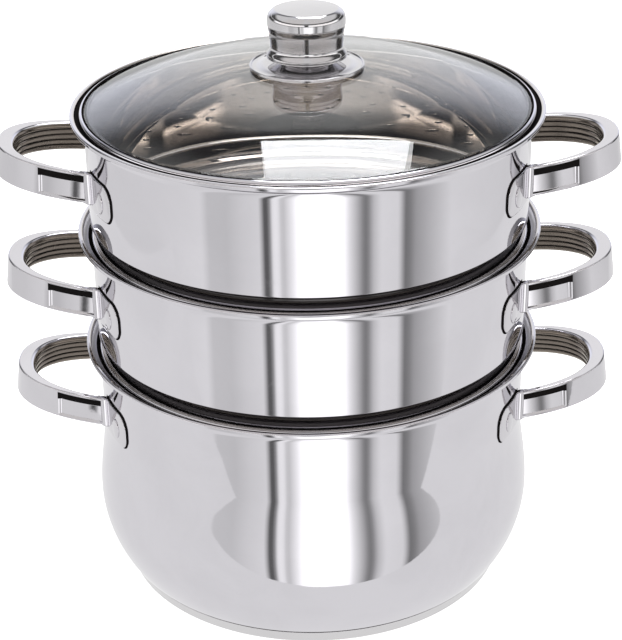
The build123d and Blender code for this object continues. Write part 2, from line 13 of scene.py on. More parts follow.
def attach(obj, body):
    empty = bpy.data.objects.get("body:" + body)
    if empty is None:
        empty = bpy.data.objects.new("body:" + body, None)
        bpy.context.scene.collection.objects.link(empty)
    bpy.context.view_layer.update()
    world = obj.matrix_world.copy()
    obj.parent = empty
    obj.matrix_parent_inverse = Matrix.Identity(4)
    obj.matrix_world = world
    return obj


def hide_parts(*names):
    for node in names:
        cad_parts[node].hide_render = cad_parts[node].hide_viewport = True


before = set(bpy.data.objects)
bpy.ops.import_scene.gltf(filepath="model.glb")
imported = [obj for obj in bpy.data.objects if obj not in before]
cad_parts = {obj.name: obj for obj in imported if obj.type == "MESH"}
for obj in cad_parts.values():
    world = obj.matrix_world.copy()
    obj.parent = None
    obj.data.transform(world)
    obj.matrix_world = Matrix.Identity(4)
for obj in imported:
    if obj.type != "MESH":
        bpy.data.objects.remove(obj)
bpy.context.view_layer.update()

# %% [markdown]
# ## Sizes
# The sizes are in millimetres, on the axis of the pot, with the underside of the base at
# zero. They repeat the solids' own driving sizes, so every piece lands on its solid.

# %% Sizes of the stack
MM = 0.001
SHEET = 0.8
WALL_R = 120.0
LIP_R = 127.0
POT_RIM = 140.0
PITCH = 66.5
RIMS = {"stockpot": POT_RIM, "lower_steamer": POT_RIM + PITCH, "upper_steamer": POT_RIM + 2 * PITCH}
LID = RIMS["upper_steamer"]
TURNS = 300
print("rim heights", RIMS)

# %% [markdown]
# ## Camera, floor and light
# A polished pot shows mostly the room round it, so the light is made before the steel.
# The camera stands where the picture was taken from: high in front, with a long lens.
# The world is a soft grey tent with upright white and dark bars in it, as a photographer
# hangs them round a shiny thing: those bars are what draws the lines down the walls. They
# end at the horizon. Above it the room in front is dark, with a low glow on either side and
# a lit line right across, and a bright backdrop stands behind. The tent could be made of
# real cards, but ramps in the world, one round the pot and others by height, are quicker to
# read and to change.

# %% Camera
FOCAL_PX = 1715.0
FRAME_HEIGHT_PX = 640.0
SENSOR = 36.0
pitch_down = np.radians(25.83)
roll = np.radians(-0.90)
ahead = np.array([0.0, np.cos(pitch_down), -np.sin(pitch_down)])
level_right = np.array([1.0, 0.0, 0.0])
level_up = np.array([0.0, np.sin(pitch_down), np.cos(pitch_down)])
right = level_right * np.cos(roll) + level_up * np.sin(roll)
up = -level_right * np.sin(roll) + level_up * np.cos(roll)
eye = np.array([0.0, -0.878, 0.568])

lens = bpy.data.cameras.new("front_camera")
lens.sensor_fit = "VERTICAL"
lens.sensor_height = SENSOR
lens.sensor_width = SENSOR
lens.lens = FOCAL_PX / FRAME_HEIGHT_PX * SENSOR
camera = bpy.data.objects.new("front_camera", lens)
turn = np.eye(4)
turn[:3, 0], turn[:3, 1], turn[:3, 2], turn[:3, 3] = right, up, -ahead, eye
camera.matrix_world = Matrix(turn.tolist())
bpy.context.scene.collection.objects.link(camera)
bpy.context.scene.camera = camera
bpy.context.scene.view_settings.view_transform = "Standard"
print("camera at", eye, "lens", round(lens.lens, 1))


# %% Node helpers
def add_node(tree, kind, sets=None, **links):
    """A node of one kind, with values for its sockets and links into them by name."""
    node = tree.nodes.new(kind)
    for key, value in (sets or {}).items():
        if isinstance(key, str) and hasattr(node, key):
            setattr(node, key, value)
        else:
            node.inputs[key].default_value = value
    for key, source in links.items():
        tree.links.new(source, node.inputs[int(key[1:]) if key[1:].isdigit() else key])
    return node


def maths(tree, operation, first, second=None):
    """One step of arithmetic on sockets or plain numbers."""
    node = tree.nodes.new("ShaderNodeMath")
    node.operation = operation
    for place, value in enumerate((first, second)):
        if value is None:
            continue
        if isinstance(value, (int, float)):
            node.inputs[place].default_value = value
        else:
            tree.links.new(value, node.inputs[place])
    return node.outputs[0]


def ramp(tree, source, stops, smooth=True):
    """Colour ramp from (place, level or colour) pairs."""
    node = tree.nodes.new("ShaderNodeValToRGB")
    node.color_ramp.interpolation = "EASE" if smooth else "LINEAR"
    elements = node.color_ramp.elements
    while len(elements) < len(stops):
        elements.new(1.0)
    for element, (place, level) in zip(elements, stops):
        element.position = place
    for element, (place, level) in zip(elements, stops):
        colour = level if isinstance(level, tuple) else (level, level, level)
        element.color = (*colour, 1.0)
    tree.links.new(source, node.inputs[0])
    return node.outputs[0]


def new_material(name):
    """A new material and its node tree."""
    material = bpy.data.materials.new(name)
    material.use_nodes = True
    return material, material.node_tree


def by_camera(tree, elsewhere, seen):
    """Shader that is the second where the camera looks straight at it, and else the first."""
    ray = add_node(tree, "ShaderNodeLightPath")
    both = tree.nodes.new("ShaderNodeMixShader")
    for place, source in enumerate((ray.outputs["Is Camera Ray"], elsewhere.outputs[0], seen.outputs[0])):
        tree.links.new(source, both.inputs[place])
    return both


def set_output(tree, kind, shader):
    """Make a shader the surface of its material or world."""
    out = tree.nodes.new(kind)
    tree.links.new(shader.outputs[0], out.inputs[0])


# %% The light tent
TENT_SCALE = 3.0
TENT_BARS = [
    (-180, 0.80),
    (-126, 0.82),
    (-84, 0.84),
    (-62, 0.92),
    (-56, 0.94),
    (-52, 0.74),
    (-42, 0.72),
    (-34, 0.84),
    (-25, 0.92),
    (-22.5, 0.14),
    (-20.2, 0.14),
    (-18.0, 1.2),
    (-15.6, 1.1),
    (-13.4, 0.7),
    (-8.7, 1.2),
    (-6, 1.6),
    (16.3, 1.7),
    (20, 1.05),
    (24, 0.62),
    (27.4, 0.26),
    (29, 0.27),
    (32.2, 0.7),
    (36, 0.96),
    (45.5, 0.92),
    (49, 0.24),
    (51.5, 0.28),
    (55, 0.46),
    (76, 0.92),
    (100, 0.86),
    (126, 0.80),
    (180, 0.80),
]


def mixed(tree, share, first, second):
    """Mix of two colours or levels, by a share from 0 to 1."""
    node = tree.nodes.new("ShaderNodeMix")
    node.data_type = "RGBA"
    tree.links.new(share, node.inputs[0])
    for place, value in ((6, first), (7, second)):
        if isinstance(value, (int, float)):
            node.inputs[place].default_value = (value, value, value, 1)
        else:
            tree.links.new(value, node.inputs[place])
    return node.outputs[2]


def at_level(elevation):
    """Place on the height ramp of a direction this many degrees above the horizon."""
    return 0.5 + 0.5 * np.sin(np.radians(elevation))


def by_height(tree, height, stops):
    """Ramp by elevation: (degrees, level or colour) pairs."""
    scaled = []
    for elevation, level in stops:
        colour = level if isinstance(level, tuple) else (level, level, level)
        scaled.append((at_level(elevation), tuple(c / TENT_SCALE for c in colour)))
    return ramp(tree, height, scaled, smooth=False)


def from_back(full, none):
    """Stops of a mask round the back: 1 within some degrees of it, and 0 beyond others."""
    inner, outer = full / 360, none / 360
    return [(0, 1.0), (inner, 1.0), (outer, 0.0), (1 - outer, 0.0), (1 - inner, 1.0), (1, 1.0)]


# %% Room, strips and backdrop by height
CEILING = 0.8
OPEN_TOP = [(38, CEILING), (90, CEILING)]
DARK_ROOM = [
    (-10, 0.04),
    (5, 0.03),
    (16.5, 0.03),
    (17.8, 0.9),
    (18.7, 1.0),
    (19.3, 0.12),
    (20, 0.03),
    (30, 0.03),
    *OPEN_TOP,
]
LOW_GLOW = [
    (2, 0.04),
    (5, 1.6),
    (16.5, 1.6),
    (17.8, 0.9),
    (18.7, 1.0),
    (19.3, 0.12),
    (20, 0.03),
    (30, 0.03),
    *OPEN_TOP,
]
# Two pairs of long light strips hang in front, on the left and on the right. The polished
# inside of the top tier stretches them into pale curls.
STRIPS = [
    (2, 0.04),
    (5, 1.6),
    (17, 1.6),
    (18.5, 0.03),
    (19.45, 0.03),
    (19.55, 3.6),
    (19.85, 3.4),
    (20.0, 0.8),
    (20.6, 0.4),
    (20.72, 2.6),
    (20.86, 2.8),
    (20.92, 0.03),
    (30, 0.05),
    *OPEN_TOP,
]
HIGH_CEILING = [(60, CEILING), (90, CEILING)]
WIDE_BACKDROP = [
    (-10, 1.12),
    (12, 1.12),
    (20, 1.1),
    (25, 0.9),
    (29, 0.6),
    (33, 0.25),
    (37, 0.1),
    (52, 0.12),
    *HIGH_CEILING,
]
MIDDLE_BACKDROP = [
    (-10, 1.05),
    (22, 1.05),
    (28, 1.05),
    (33, 1.2),
    (35.5, 1.1),
    (37.5, 0.9),
    (41, 0.8),
    (44, 0.2),
    (52, 0.15),
    *HIGH_CEILING,
]
SKY_TINT = (0.94, 0.96, 1.06)
STRIP_TINT = (1.0, 0.97, 0.95)
STRIP_LEAN = 0.033
# Shares by degrees to either side of straight ahead.
GLOW_ENDS = [(0, 0), (4, 0), (8, 1), (100, 1), (112, 0), (180, 0)]
STRIP_ENDS = [(0, 0), (9, 0), (16, 1), (78, 1), (92, 0), (180, 0)]


def tinted(stops, tint):
    """The stops with each level made a colour, level times tint."""
    return [(elevation, tuple(level * c for c in tint)) for elevation, level in stops]


def by_side(tree, off_front, ends):
    """Mask by how far a direction lies to either side of straight ahead."""
    return ramp(tree, off_front, [(degrees / 360, share) for degrees, share in ends], smooth=False)


print("levels of room", len(DARK_ROOM), "glow", len(LOW_GLOW), "strips", len(STRIPS))


# %% World
tent = bpy.data.worlds.new("light_tent")
bpy.context.scene.world = tent
tent.use_nodes = True
tree = tent.node_tree
tree.nodes.clear()
direction = add_node(tree, "ShaderNodeTexCoord").outputs["Generated"]
parts = add_node(tree, "ShaderNodeSeparateXYZ", Vector=direction)
back_y = maths(tree, "MULTIPLY", parts.outputs["Y"], -1.0)
around = maths(tree, "ARCTAN2", parts.outputs["X"], back_y)
around = maths(tree, "ADD", maths(tree, "DIVIDE", around, 2 * np.pi), 0.5)
bars = ramp(tree, around, [((a + 180) / 360, level / TENT_SCALE) for a, level in TENT_BARS], smooth=False)
height = maths(tree, "ADD", maths(tree, "MULTIPLY", parts.outputs["Z"], 0.5), 0.5)
off_front = maths(tree, "ABSOLUTE", maths(tree, "SUBTRACT", around, 0.5))
dark_room, low_glow = by_height(tree, height, DARK_ROOM), by_height(tree, height, LOW_GLOW)
glowing_room = mixed(tree, by_side(tree, off_front, GLOW_ENDS), dark_room, low_glow)
leaning = maths(tree, "ADD", height, maths(tree, "MULTIPLY", off_front, STRIP_LEAN))
strips = by_height(tree, leaning, tinted(STRIPS, STRIP_TINT))
room = mixed(tree, by_side(tree, off_front, STRIP_ENDS), glowing_room, strips)
backdrop_wide = by_height(tree, height, tinted(WIDE_BACKDROP, SKY_TINT))
backdrop_middle = by_height(tree, height, MIDDLE_BACKDROP)
straight_back = ramp(tree, around, from_back(5, 15), smooth=False)
behind = ramp(tree, around, from_back(25, 42), smooth=False)
high = mixed(tree, behind, room, mixed(tree, straight_back, backdrop_wide, backdrop_middle))
above = ramp(tree, height, [(at_level(-3), 0.0), (at_level(3), 1.0)], smooth=False)
levels = mixed(tree, above, bars, high)
tent_light = add_node(tree, "ShaderNodeBackground", {"Strength": TENT_SCALE}, Color=levels)
white_room = add_node(tree, "ShaderNodeBackground", {"Color": (1, 1, 1, 1), "Strength": 1.0})
set_output(tree, "ShaderNodeOutputWorld", by_camera(tree, tent_light, white_room))
print("tent bars", len(TENT_BARS))


# %% Floor and softbox
def flat_panel(name, centre, half, normal_up=True):
    """Level rectangle at a centre, with half sizes along X and Y."""
    cx, cy, cz = centre
    hx, hy = half
    corners = [(cx + i * hx, cy + j * hy, cz) for i, j in ((-1, -1), (1, -1), (1, 1), (-1, 1))]
    order = (0, 1, 2, 3) if normal_up else (3, 2, 1, 0)
    mesh = bpy.data.meshes.new(name)
    mesh.from_pydata(corners, [], [order])
    panel = bpy.data.objects.new(name, mesh)
    bpy.context.scene.collection.objects.link(panel)
    return panel


def glowing(name, colour, strength):
    """Cloth or card that gives off an even light."""
    material, tree = new_material(name)
    tree.nodes.clear()
    glow = add_node(tree, "ShaderNodeEmission", {"Color": (*colour, 1), "Strength": strength})
    set_output(tree, "ShaderNodeOutputMaterial", glow)
    return material


floor = flat_panel("floor", (0, 0, -0.0004), (6, 6))
floor.visible_glossy = False
paper, tree = new_material("white_paper")
tree.nodes.clear()
sheet = add_node(tree, "ShaderNodeBsdfDiffuse", {"Color": (0.9, 0.9, 0.9, 1)})
dark = add_node(tree, "ShaderNodeEmission", {"Strength": 0.0})
glow = add_node(tree, "ShaderNodeEmission", {"Color": (1, 1, 1, 1), "Strength": 0.8})
both = tree.nodes.new("ShaderNodeAddShader")
tree.links.new(sheet.outputs[0], both.inputs[0])
tree.links.new(by_camera(tree, dark, glow).outputs[0], both.inputs[1])
set_output(tree, "ShaderNodeOutputMaterial", both)
floor.data.materials.append(paper)

# The polished steel mirrors a table top, whose front edge draws an arc on the belly.
TABLE_HALF = 0.60
TABLE_Z = -0.0002
TABLE_FRONT = [
    (-TABLE_HALF, -0.250),
    (-0.20, -0.240),
    (-0.14, -0.226),
    (-0.07, -0.206),
    (0.0, -0.191),
    (0.08, -0.184),
    (TABLE_HALF, -0.184),
]
TABLE_BACK = [(TABLE_HALF, TABLE_HALF), (-TABLE_HALF, TABLE_HALF)]
outline = [(x, y, TABLE_Z) for x, y in TABLE_FRONT + TABLE_BACK]
mesh = bpy.data.meshes.new("table_top")
mesh.from_pydata(outline, [], [tuple(range(len(outline)))])
table = bpy.data.objects.new("table_top", mesh)
bpy.context.scene.collection.objects.link(table)
table.visible_camera = False
table.visible_diffuse = False
table.visible_shadow = False
table.data.materials.append(glowing("table_glow", (1, 1, 1), 0.9))

softbox = flat_panel("softbox", (0.13, 0.62, 1.5), (0.32, 0.36), normal_up=False)
softbox.visible_diffuse = False
softbox.visible_camera = False
softbox.data.materials.append(glowing("softbox_cloth", (0.97, 0.98, 1.0), 7.5))

lamp = bpy.data.lights.new("overhead_lamp", "AREA")
lamp.shape = "RECTANGLE"
lamp.size, lamp.size_y = 1.2, 1.2
lamp.energy = 14.0
overhead = bpy.data.objects.new("overhead_lamp", lamp)
overhead.location = (0, -0.1, 1.6)
overhead.visible_glossy = False
bpy.context.scene.collection.objects.link(overhead)
print("floor, softbox and lamp made")

# %% [markdown]
# ## From numbers to surfaces
# Spun sheet metal is a surface of revolution: a profile is drawn once, as a row of
# (radius, height) points, and carried round the axis. A profile is put together from
# straight runs and rounds, and each straight run gets one more point close to its ends,
# so that the shading of a long flat wall isn't bent by the small round beside it.


# %% Profile helpers
def run(start, end, count=1):
    """Straight run: start plus a growing share of the way to the end, with a point near each end."""
    start, end = np.array(start, float), np.array(end, float)
    length = max(np.linalg.norm(end - start), 1e-6)
    edge = min(0.15 / length, 0.25)
    share = np.concatenate([[0, edge], np.linspace(0, 1, count + 1)[1:-1], [1 - edge, 1]])
    return start + share[:, None] * (end - start)


def bend(centre, radius, start, end, count=8):
    """Round: the centre plus the radius times cosine and sine of an angle from start to end, in degrees."""
    angle = np.radians(np.linspace(start, end, count + 1))
    return np.array(centre, float) + radius * np.stack([np.cos(angle), np.sin(angle)], 1)


def ease(start, end, start_way, end_way, count=24):
    """Free curve: the cubic that leaves start along one direction and meets end along another."""
    start, end = np.array(start, float), np.array(end, float)
    reach = np.linalg.norm(end - start)
    a = np.array(start_way, float) / np.linalg.norm(start_way) * reach
    b = np.array(end_way, float) / np.linalg.norm(end_way) * reach
    s = np.linspace(0, 1, count + 1)[:, None]
    return (
        (2 * s**3 - 3 * s**2 + 1) * start
        + (s**3 - 2 * s**2 + s) * a
        + (3 * s**2 - 2 * s**3) * end
        + (s**3 - s**2) * b
    )


def chain(*runs):
    """Runs end to end, without the points that repeat where two meet."""
    points = np.concatenate([np.atleast_2d(np.array(r, float)) for r in runs])
    apart = np.linalg.norm(np.diff(points, axis=0), axis=1) > 1e-4
    return points[np.concatenate([[True], apart])]


print("points of a run", len(run((0, 0), (1, 0))), "of a round", len(bend((0, 0), 1, 0, 90)))


# %% Grid to mesh
def skin(name, *sheets):
    """One mesh from grids of points in millimetres, each with its two wrap flags.

    grid[i, j] is a point, and each cell of four neighbours is a face. Where rows or
    columns wrap, the last joins the first. Each grid is turned outwards by the sign of
    the volume under its faces. Points that fall together are made one, which closes
    seams and turns a row of equal points into a pole.
    """
    points, faces, start = [], [], 0
    for grid, wrap_rows, wrap_columns in sheets:
        rows, columns = grid.shape[:2]
        index = np.arange(rows * columns).reshape(rows, columns)
        beside = np.roll(index, -1, axis=1)
        below = np.roll(index, -1, axis=0)
        cells = np.stack([index, beside, np.roll(beside, -1, axis=0), below], -1)
        cells = cells[: rows if wrap_rows else rows - 1, : columns if wrap_columns else columns - 1]
        cells = cells.reshape(-1, 4)
        flat = grid.reshape(-1, 3)
        p, q, r, t = (flat[cells[:, k]] for k in range(4))
        volume = np.einsum("ij,ij->", p, np.cross(q, r)) + np.einsum("ij,ij->", p, np.cross(r, t))
        points.append(flat)
        faces.append((cells if volume > 0 else cells[:, ::-1]) + start)
        start += len(flat)
    points, place = np.unique(np.round(np.concatenate(points), 3), axis=0, return_inverse=True)
    faces = place.ravel()[np.concatenate(faces)]
    repeated = faces == np.roll(faces, -1, axis=1)
    quads = faces[~repeated.any(axis=1)]
    once = repeated.sum(axis=1) == 1
    triangles = faces[once][~repeated[once]].reshape(-1, 3)
    mesh = bpy.data.meshes.new(name)
    mesh.from_pydata((points * MM).tolist(), [], quads.tolist() + triangles.tolist())
    mesh.shade_smooth()
    piece = bpy.data.objects.new(name, mesh)
    bpy.context.scene.collection.objects.link(piece)
    return piece


def turned(profile, turns=TURNS):
    """Profile carried round the axis: (r cos a, r sin a, z) for each point (r, z)."""
    angle = np.linspace(0, 2 * np.pi, turns, endpoint=False)
    r, z = profile[:, 0][:, None], profile[:, 1][:, None]
    return np.stack([r * np.cos(angle), r * np.sin(angle), z + 0 * angle], -1)


def spin(name, profile, turns=TURNS):
    """Solid of revolution from a closed profile."""
    return skin(name, (turned(profile, turns), True, True))


def close_ends(grid):
    """The grid with a pole added before its first row and after its last, to shut it."""
    first, last = grid[:1], grid[-1:]
    hubs = [np.broadcast_to(end.mean(axis=1, keepdims=True), end.shape) for end in (first, last)]
    return np.concatenate([hubs[0], grid, hubs[1]])


def settle(piece, body, finish, slot, *nodes):
    """Give a piece its finish and its body, and let it stand for its solids."""
    piece.data.materials.append(finish)
    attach(piece, body)
    if nodes:
        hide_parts(*nodes)
    print(piece.name, len(piece.data.polygons), "faces on", body)
    return piece


def paint(piece, finish, where):
    """Give a second finish to the faces that pass a test on their middles (mm) and directions."""
    mesh = piece.data
    count = len(mesh.polygons)
    middle, way, used = np.empty(count * 3), np.empty(count * 3), np.empty(count, int)
    mesh.polygons.foreach_get("center", middle)
    mesh.polygons.foreach_get("normal", way)
    mesh.polygons.foreach_get("material_index", used)
    mesh.materials.append(finish)
    chosen = where(middle.reshape(-1, 3) / MM, way.reshape(-1, 3))
    used[chosen] = len(mesh.materials) - 1
    mesh.polygons.foreach_set("material_index", used)
    print(piece.name, int(chosen.sum()), "faces in", finish.name)


def radial(middle, way):
    """Distance from the axis, and how far each face looks away from it."""
    r = np.hypot(middle[:, 0], middle[:, 1])
    return r, (way[:, 0] * middle[:, 0] + way[:, 1] * middle[:, 1]) / np.maximum(r, 1e-6)


def inside(middle, way):
    """Faces that look in towards the axis, or within 60 degrees of straight up from a floor."""
    r, outward = radial(middle, way)
    return (outward < -0.15) | ((way[:, 2] > 0.5) & (r < WALL_R - 1.0))


# %% [markdown]
# ## Finishes
# Polished stainless steel is a mirror with faults: fine lines left by the polishing wheel,
# which run round the pot, a haze of handling and a few faint smears. All of them change
# how sharply the steel mirrors, and hardly its colour. So the finish is a metal whose
# roughness and bump are made of noise: one noise stretched into rings, one broad and soft.
#
# Where two pieces nest, almost no light gets in, and real steel there mirrors only more dark
# steel. A mirror in a bright tent would fill such a gap with light. So the faces in a gap are
# painted near black as painted shade, and the steel round the gap keeps its polish. The
# insides, grooves, corners and grips get darker copies of the steel as painted shade too.


# %% Steel finishes
def noise(tree, place, scale, detail, roughness=0.5, distortion=0.0):
    """Level of a noise read at a place."""
    sets = {"Scale": scale, "Detail": detail, "Roughness": roughness, "Distortion": distortion}
    return add_node(tree, "ShaderNodeTexNoise", sets, Vector=place).outputs["Fac"]


def stretched(tree, place, factors):
    """A place times one factor along each axis."""
    sets = {"operation": "MULTIPLY", 1: factors}
    return add_node(tree, "ShaderNodeVectorMath", sets, _0=place).outputs[0]


def dimmed(colour, share):
    """The colour times a share, no channel above 1."""
    return tuple(min(1.0, share * c) for c in colour)


def weighted(tree, start, *pairs):
    """A number plus each level times its weight."""
    total = start
    for level, weight in pairs:
        total = maths(tree, "ADD", maths(tree, "MULTIPLY", level, weight), total)
    return total


def bumped(tree, shader, height, strength, distance):
    """Raise a surface by a level, at most by a distance in metres."""
    bump = add_node(tree, "ShaderNodeBump", {"Strength": strength, "Distance": distance}, Height=height)
    tree.links.new(bump.outputs[0], shader.inputs["Normal"])


def polished_steel(name, colour, sheen, line_strength=0.02, haze=0.03, ring_scale=900.0, metal=1.0):
    """Metal with rings from the wheel, soft haze and small smears in its roughness and bump.

    The rings are a noise read at (distance from the axis, height), stretched by ring_scale,
    and shifted a little round the pot so that no ring is whole.
    """
    material, tree = new_material(name)
    shader = tree.nodes["Principled BSDF"]
    shader.inputs["Metallic"].default_value = metal
    shader.inputs["Specular IOR Level"].default_value = 0.5 * metal
    place = add_node(tree, "ShaderNodeTexCoord").outputs["Object"]
    split = add_node(tree, "ShaderNodeSeparateXYZ", Vector=place).outputs
    squares = [maths(tree, "POWER", split[axis], 2.0) for axis in "XY"]
    across = maths(tree, "SQRT", maths(tree, "ADD", *squares))
    ring_place = add_node(tree, "ShaderNodeCombineXYZ", X=across, Z=split["Z"]).outputs[0]
    shifted = add_node(tree, "ShaderNodeVectorMath", {"operation": "ADD"})
    tree.links.new(stretched(tree, place, (6.0, 6.0, 0.0)), shifted.inputs[0])
    tree.links.new(stretched(tree, ring_place, (ring_scale,) * 3), shifted.inputs[1])
    lines = noise(tree, shifted.outputs[0], 1.0, 3.0, roughness=0.6)
    cloud = noise(tree, place, 22.0, 5.0, roughness=0.6, distortion=0.4)
    smears = ramp(tree, noise(tree, place, 70.0, 2.0, distortion=1.5), [(0.60, 0.0), (0.72, 1.0)])
    rough = weighted(tree, sheen, (cloud, haze), (lines, haze * 0.6), (smears, haze * 0.7))
    tree.links.new(rough, shader.inputs["Roughness"])
    tone = ramp(tree, cloud, [(0.3, dimmed(colour, 0.97)), (0.7, dimmed(colour, 1.02))])
    tree.links.new(tone, shader.inputs["Base Color"])
    bumped(tree, shader, lines, line_strength, 0.0002)
    return material


STEEL = (0.695, 0.680, 0.715)
mirror_steel = polished_steel("mirror_steel", STEEL, 0.02)
# Painted shade: a darker, browner copy of the steel for the insides of the pots, where they mirror only
# each other.
inner_painted_shade_steel = polished_steel("inner_painted_shade_steel", (0.67, 0.63, 0.59), 0.004, line_strength=0.004, haze=0.006)
# Painted shade: near black and not metal, for gaps, panel bevels, groove bottoms and the edges of ears and
# band.
painted_shade = polished_steel("painted_shade", (0.012, 0.011, 0.011), 0.3, metal=0.0)
# Painted shade: a dark steel for the groove round a tier's foot.
foot_painted_shade = polished_steel("foot_painted_shade", (0.08, 0.075, 0.075), 0.08)
lip_steel = polished_steel("lip_steel", STEEL, 0.3, haze=0.1)
# Painted shade: a dark brown steel for the round at a tier's floor.
corner_painted_shade = polished_steel("corner_painted_shade", (0.20, 0.185, 0.17), 0.01, haze=0.01)
handle_steel = polished_steel("handle_steel", (0.665, 0.65, 0.68), 0.02, ring_scale=500.0)
# Painted shade: a dark brown copy of the handle steel for the inside of each loop.
grip_painted_shade = polished_steel("grip_painted_shade", (0.30, 0.265, 0.22), 0.12, haze=0.1, line_strength=0.05)
base_steel = polished_steel("base_steel", (0.70, 0.69, 0.70), 0.08, line_strength=0.12, ring_scale=1500.0)
KNOB_STEEL = (0.64, 0.63, 0.645)
knob_steel = polished_steel("knob_steel", KNOB_STEEL, 0.01, line_strength=0.005, haze=0.02, metal=0.92)
print("steel finishes made")


# %% Glass, silicone and plug finishes
def clear_glass(name):
    """Thick clear glass, very slightly grey, with faint streaks that blur it here and there."""
    material, tree = new_material(name)
    shader = tree.nodes["Principled BSDF"]
    shader.inputs["Base Color"].default_value = (0.97, 0.975, 0.985, 1)
    shader.inputs["IOR"].default_value = 1.5
    shader.inputs["Transmission Weight"].default_value = 1.0
    place = add_node(tree, "ShaderNodeTexCoord").outputs["Object"]
    rough = ramp(tree, noise(tree, place, 30.0, 4.0), [(0.4, 0.0), (0.8, 0.012)])
    tree.links.new(rough, shader.inputs["Roughness"])
    bumped(tree, shader, noise(tree, place, 14.0, 1.0), 0.01, 0.001)
    return material


def plain_moulding(name, colour, roughness, grain=600.0):
    """Moulded rubber or plastic with a fine grain and uneven sheen."""
    material, tree = new_material(name)
    shader = tree.nodes["Principled BSDF"]
    place = add_node(tree, "ShaderNodeTexCoord").outputs["Object"]
    grainy, cloud = noise(tree, place, grain, 3.0), noise(tree, place, 60.0, 2.0)
    tone = ramp(tree, cloud, [(0.3, dimmed(colour, 0.85)), (0.7, colour)])
    tree.links.new(tone, shader.inputs["Base Color"])
    tree.links.new(weighted(tree, roughness, (grainy, 0.15)), shader.inputs["Roughness"])
    bumped(tree, shader, grainy, 0.15, 0.0001)
    return material


lid_glass_finish = clear_glass("lid_glass_finish")
silicone_finish = plain_moulding("silicone_finish", (0.72, 0.72, 0.71), 0.45)
plug_finish = plain_moulding("plug_finish", (0.06, 0.06, 0.06), 0.5)
alloy_finish = polished_steel("alloy_finish", (0.8, 0.8, 0.8), 0.3, haze=0.1)
print("glass and moulding finishes made")

# %% [markdown]
# ## The lip, the same on all three pots
# Each wall flares out in a quarter round and ends in a folded hem, so that the next tier's
# foot drops in and centres itself. The hem is sheet folded back on itself, which leaves a
# fine seam under it.

# %% Lip profile
FLARE_R = 7.0
FLARE_START = -8.4
FLARE_TURN = 75.0
HEM_IN_R = 124.4
HEM_ROUND = 0.9
HEM_FOOT_ROUND = 0.45
HEM_DEPTH = 2.4


def lip_profile(rim):
    """From the inner wall up the flare, over the hem and back down to the outer wall."""
    centre = (WALL_R - SHEET + FLARE_R, rim + FLARE_START)
    crest = rim - HEM_ROUND
    inner = bend(centre, FLARE_R, 180, 180 - FLARE_TURN, 24)
    return chain(
        inner,
        run(inner[-1], (HEM_IN_R, crest)),
        bend((HEM_IN_R + HEM_ROUND, crest), HEM_ROUND, 180, 90, 8),
        run((HEM_IN_R + HEM_ROUND, rim), (LIP_R - HEM_ROUND, rim)),
        bend((LIP_R - HEM_ROUND, crest), HEM_ROUND, 90, 0, 8),
        run((LIP_R, crest), (LIP_R, rim - HEM_DEPTH + HEM_FOOT_ROUND)),
        bend((LIP_R - HEM_FOOT_ROUND, rim - HEM_DEPTH + HEM_FOOT_ROUND), HEM_FOOT_ROUND, 0, -90, 5),
        bend(centre, FLARE_R - SHEET, 180 - FLARE_TURN, 180, 24),
    )


print("lip points", len(lip_profile(0)))

# %% Where the lip lies in shade
FLARE_IN_R = 119.5
FLARE_FOOT = -9.0
GAP_R = 121.6
LID_GAP_R = 124.5
HEM_EDGE = 0.5
print("shade in a flare from", FLARE_IN_R, "to", GAP_R, "mm, and to", LID_GAP_R, "mm under the lid")


def under_lip(rim, gap_r=GAP_R):
    """Test for the inside of a flare, in the gap round the next foot or under the lid's edge, which is
    painted near black as painted shade.
    """

    def test(middle, way):
        r, outward = radial(middle, way)
        return (outward < 0) & (r > FLARE_IN_R) & (r < gap_r) & (middle[:, 2] > rim + FLARE_FOOT)

    return test


def lip_slope(rim):
    """Test for the upper part of a flare, which slopes gently up to the hem."""

    def test(middle, way):
        r, outward = radial(middle, way)
        high = (middle[:, 2] > rim + FLARE_FOOT) & (middle[:, 2] < rim - HEM_EDGE)
        return (outward < 0) & (r > GAP_R) & high

    return test


# %% [markdown]
# ## The stockpot
# The pot swells below the lip into a belly and is drawn in to its floor. The side is
# drawn twice, once for each face of the sheet.

# %% Stockpot body
WALL_END = 95.0
BELLY = (124.6, 47.0)
BELLY_ARC_R = 67.0
BELLY_END_Z = 9.8
FLOOR_Z = 7.0
FLOOR_CORNER_R = 107.0


def pot_side(inset):
    """One face of the pot's side, from under the lip down to the middle of the floor."""
    drop = np.degrees(np.arcsin((BELLY[1] - BELLY_END_Z) / BELLY_ARC_R))
    belly_top = (BELLY[0] - inset, BELLY[1])
    round_under = bend((BELLY[0] - BELLY_ARC_R, BELLY[1]), BELLY_ARC_R - inset, 0, -drop, 24)
    way = (-np.sin(np.radians(drop)), -np.cos(np.radians(drop)))
    floor_edge = (FLOOR_CORNER_R, FLOOR_Z + inset)
    return chain(
        run((WALL_R - inset, POT_RIM + FLARE_START), (WALL_R - inset, WALL_END), 6),
        ease((WALL_R - inset, WALL_END), belly_top, (0, -1), (0, -1), 24),
        round_under,
        ease(round_under[-1], floor_edge, way, (-1, 0), 10),
        run(floor_edge, (0, FLOOR_Z + inset), 12),
    )


profile = chain(lip_profile(POT_RIM), pot_side(0), pot_side(SHEET)[::-1])
pot = settle(spin("stockpot_shell", profile), "stockpot", mirror_steel, "polished_steel", "stockpot_body")
# Painted shade: the inside of the pot gets the darker, browner steel.
paint(pot, inner_painted_shade_steel, inside)
paint(pot, lip_steel, lip_slope(POT_RIM))
# Painted shade: the flare's gap is painted near black.
paint(pot, painted_shade, under_lip(POT_RIM))

# %% [markdown]
# ## The base
# A thick aluminium disc spreads the heat, and a thin steel cap pressed over it keeps it
# clean. The cap's edge rolls in under the pot's corner and leaves a thin dark seam there.
# Its underside is turned on a lathe, so it carries fine rings.

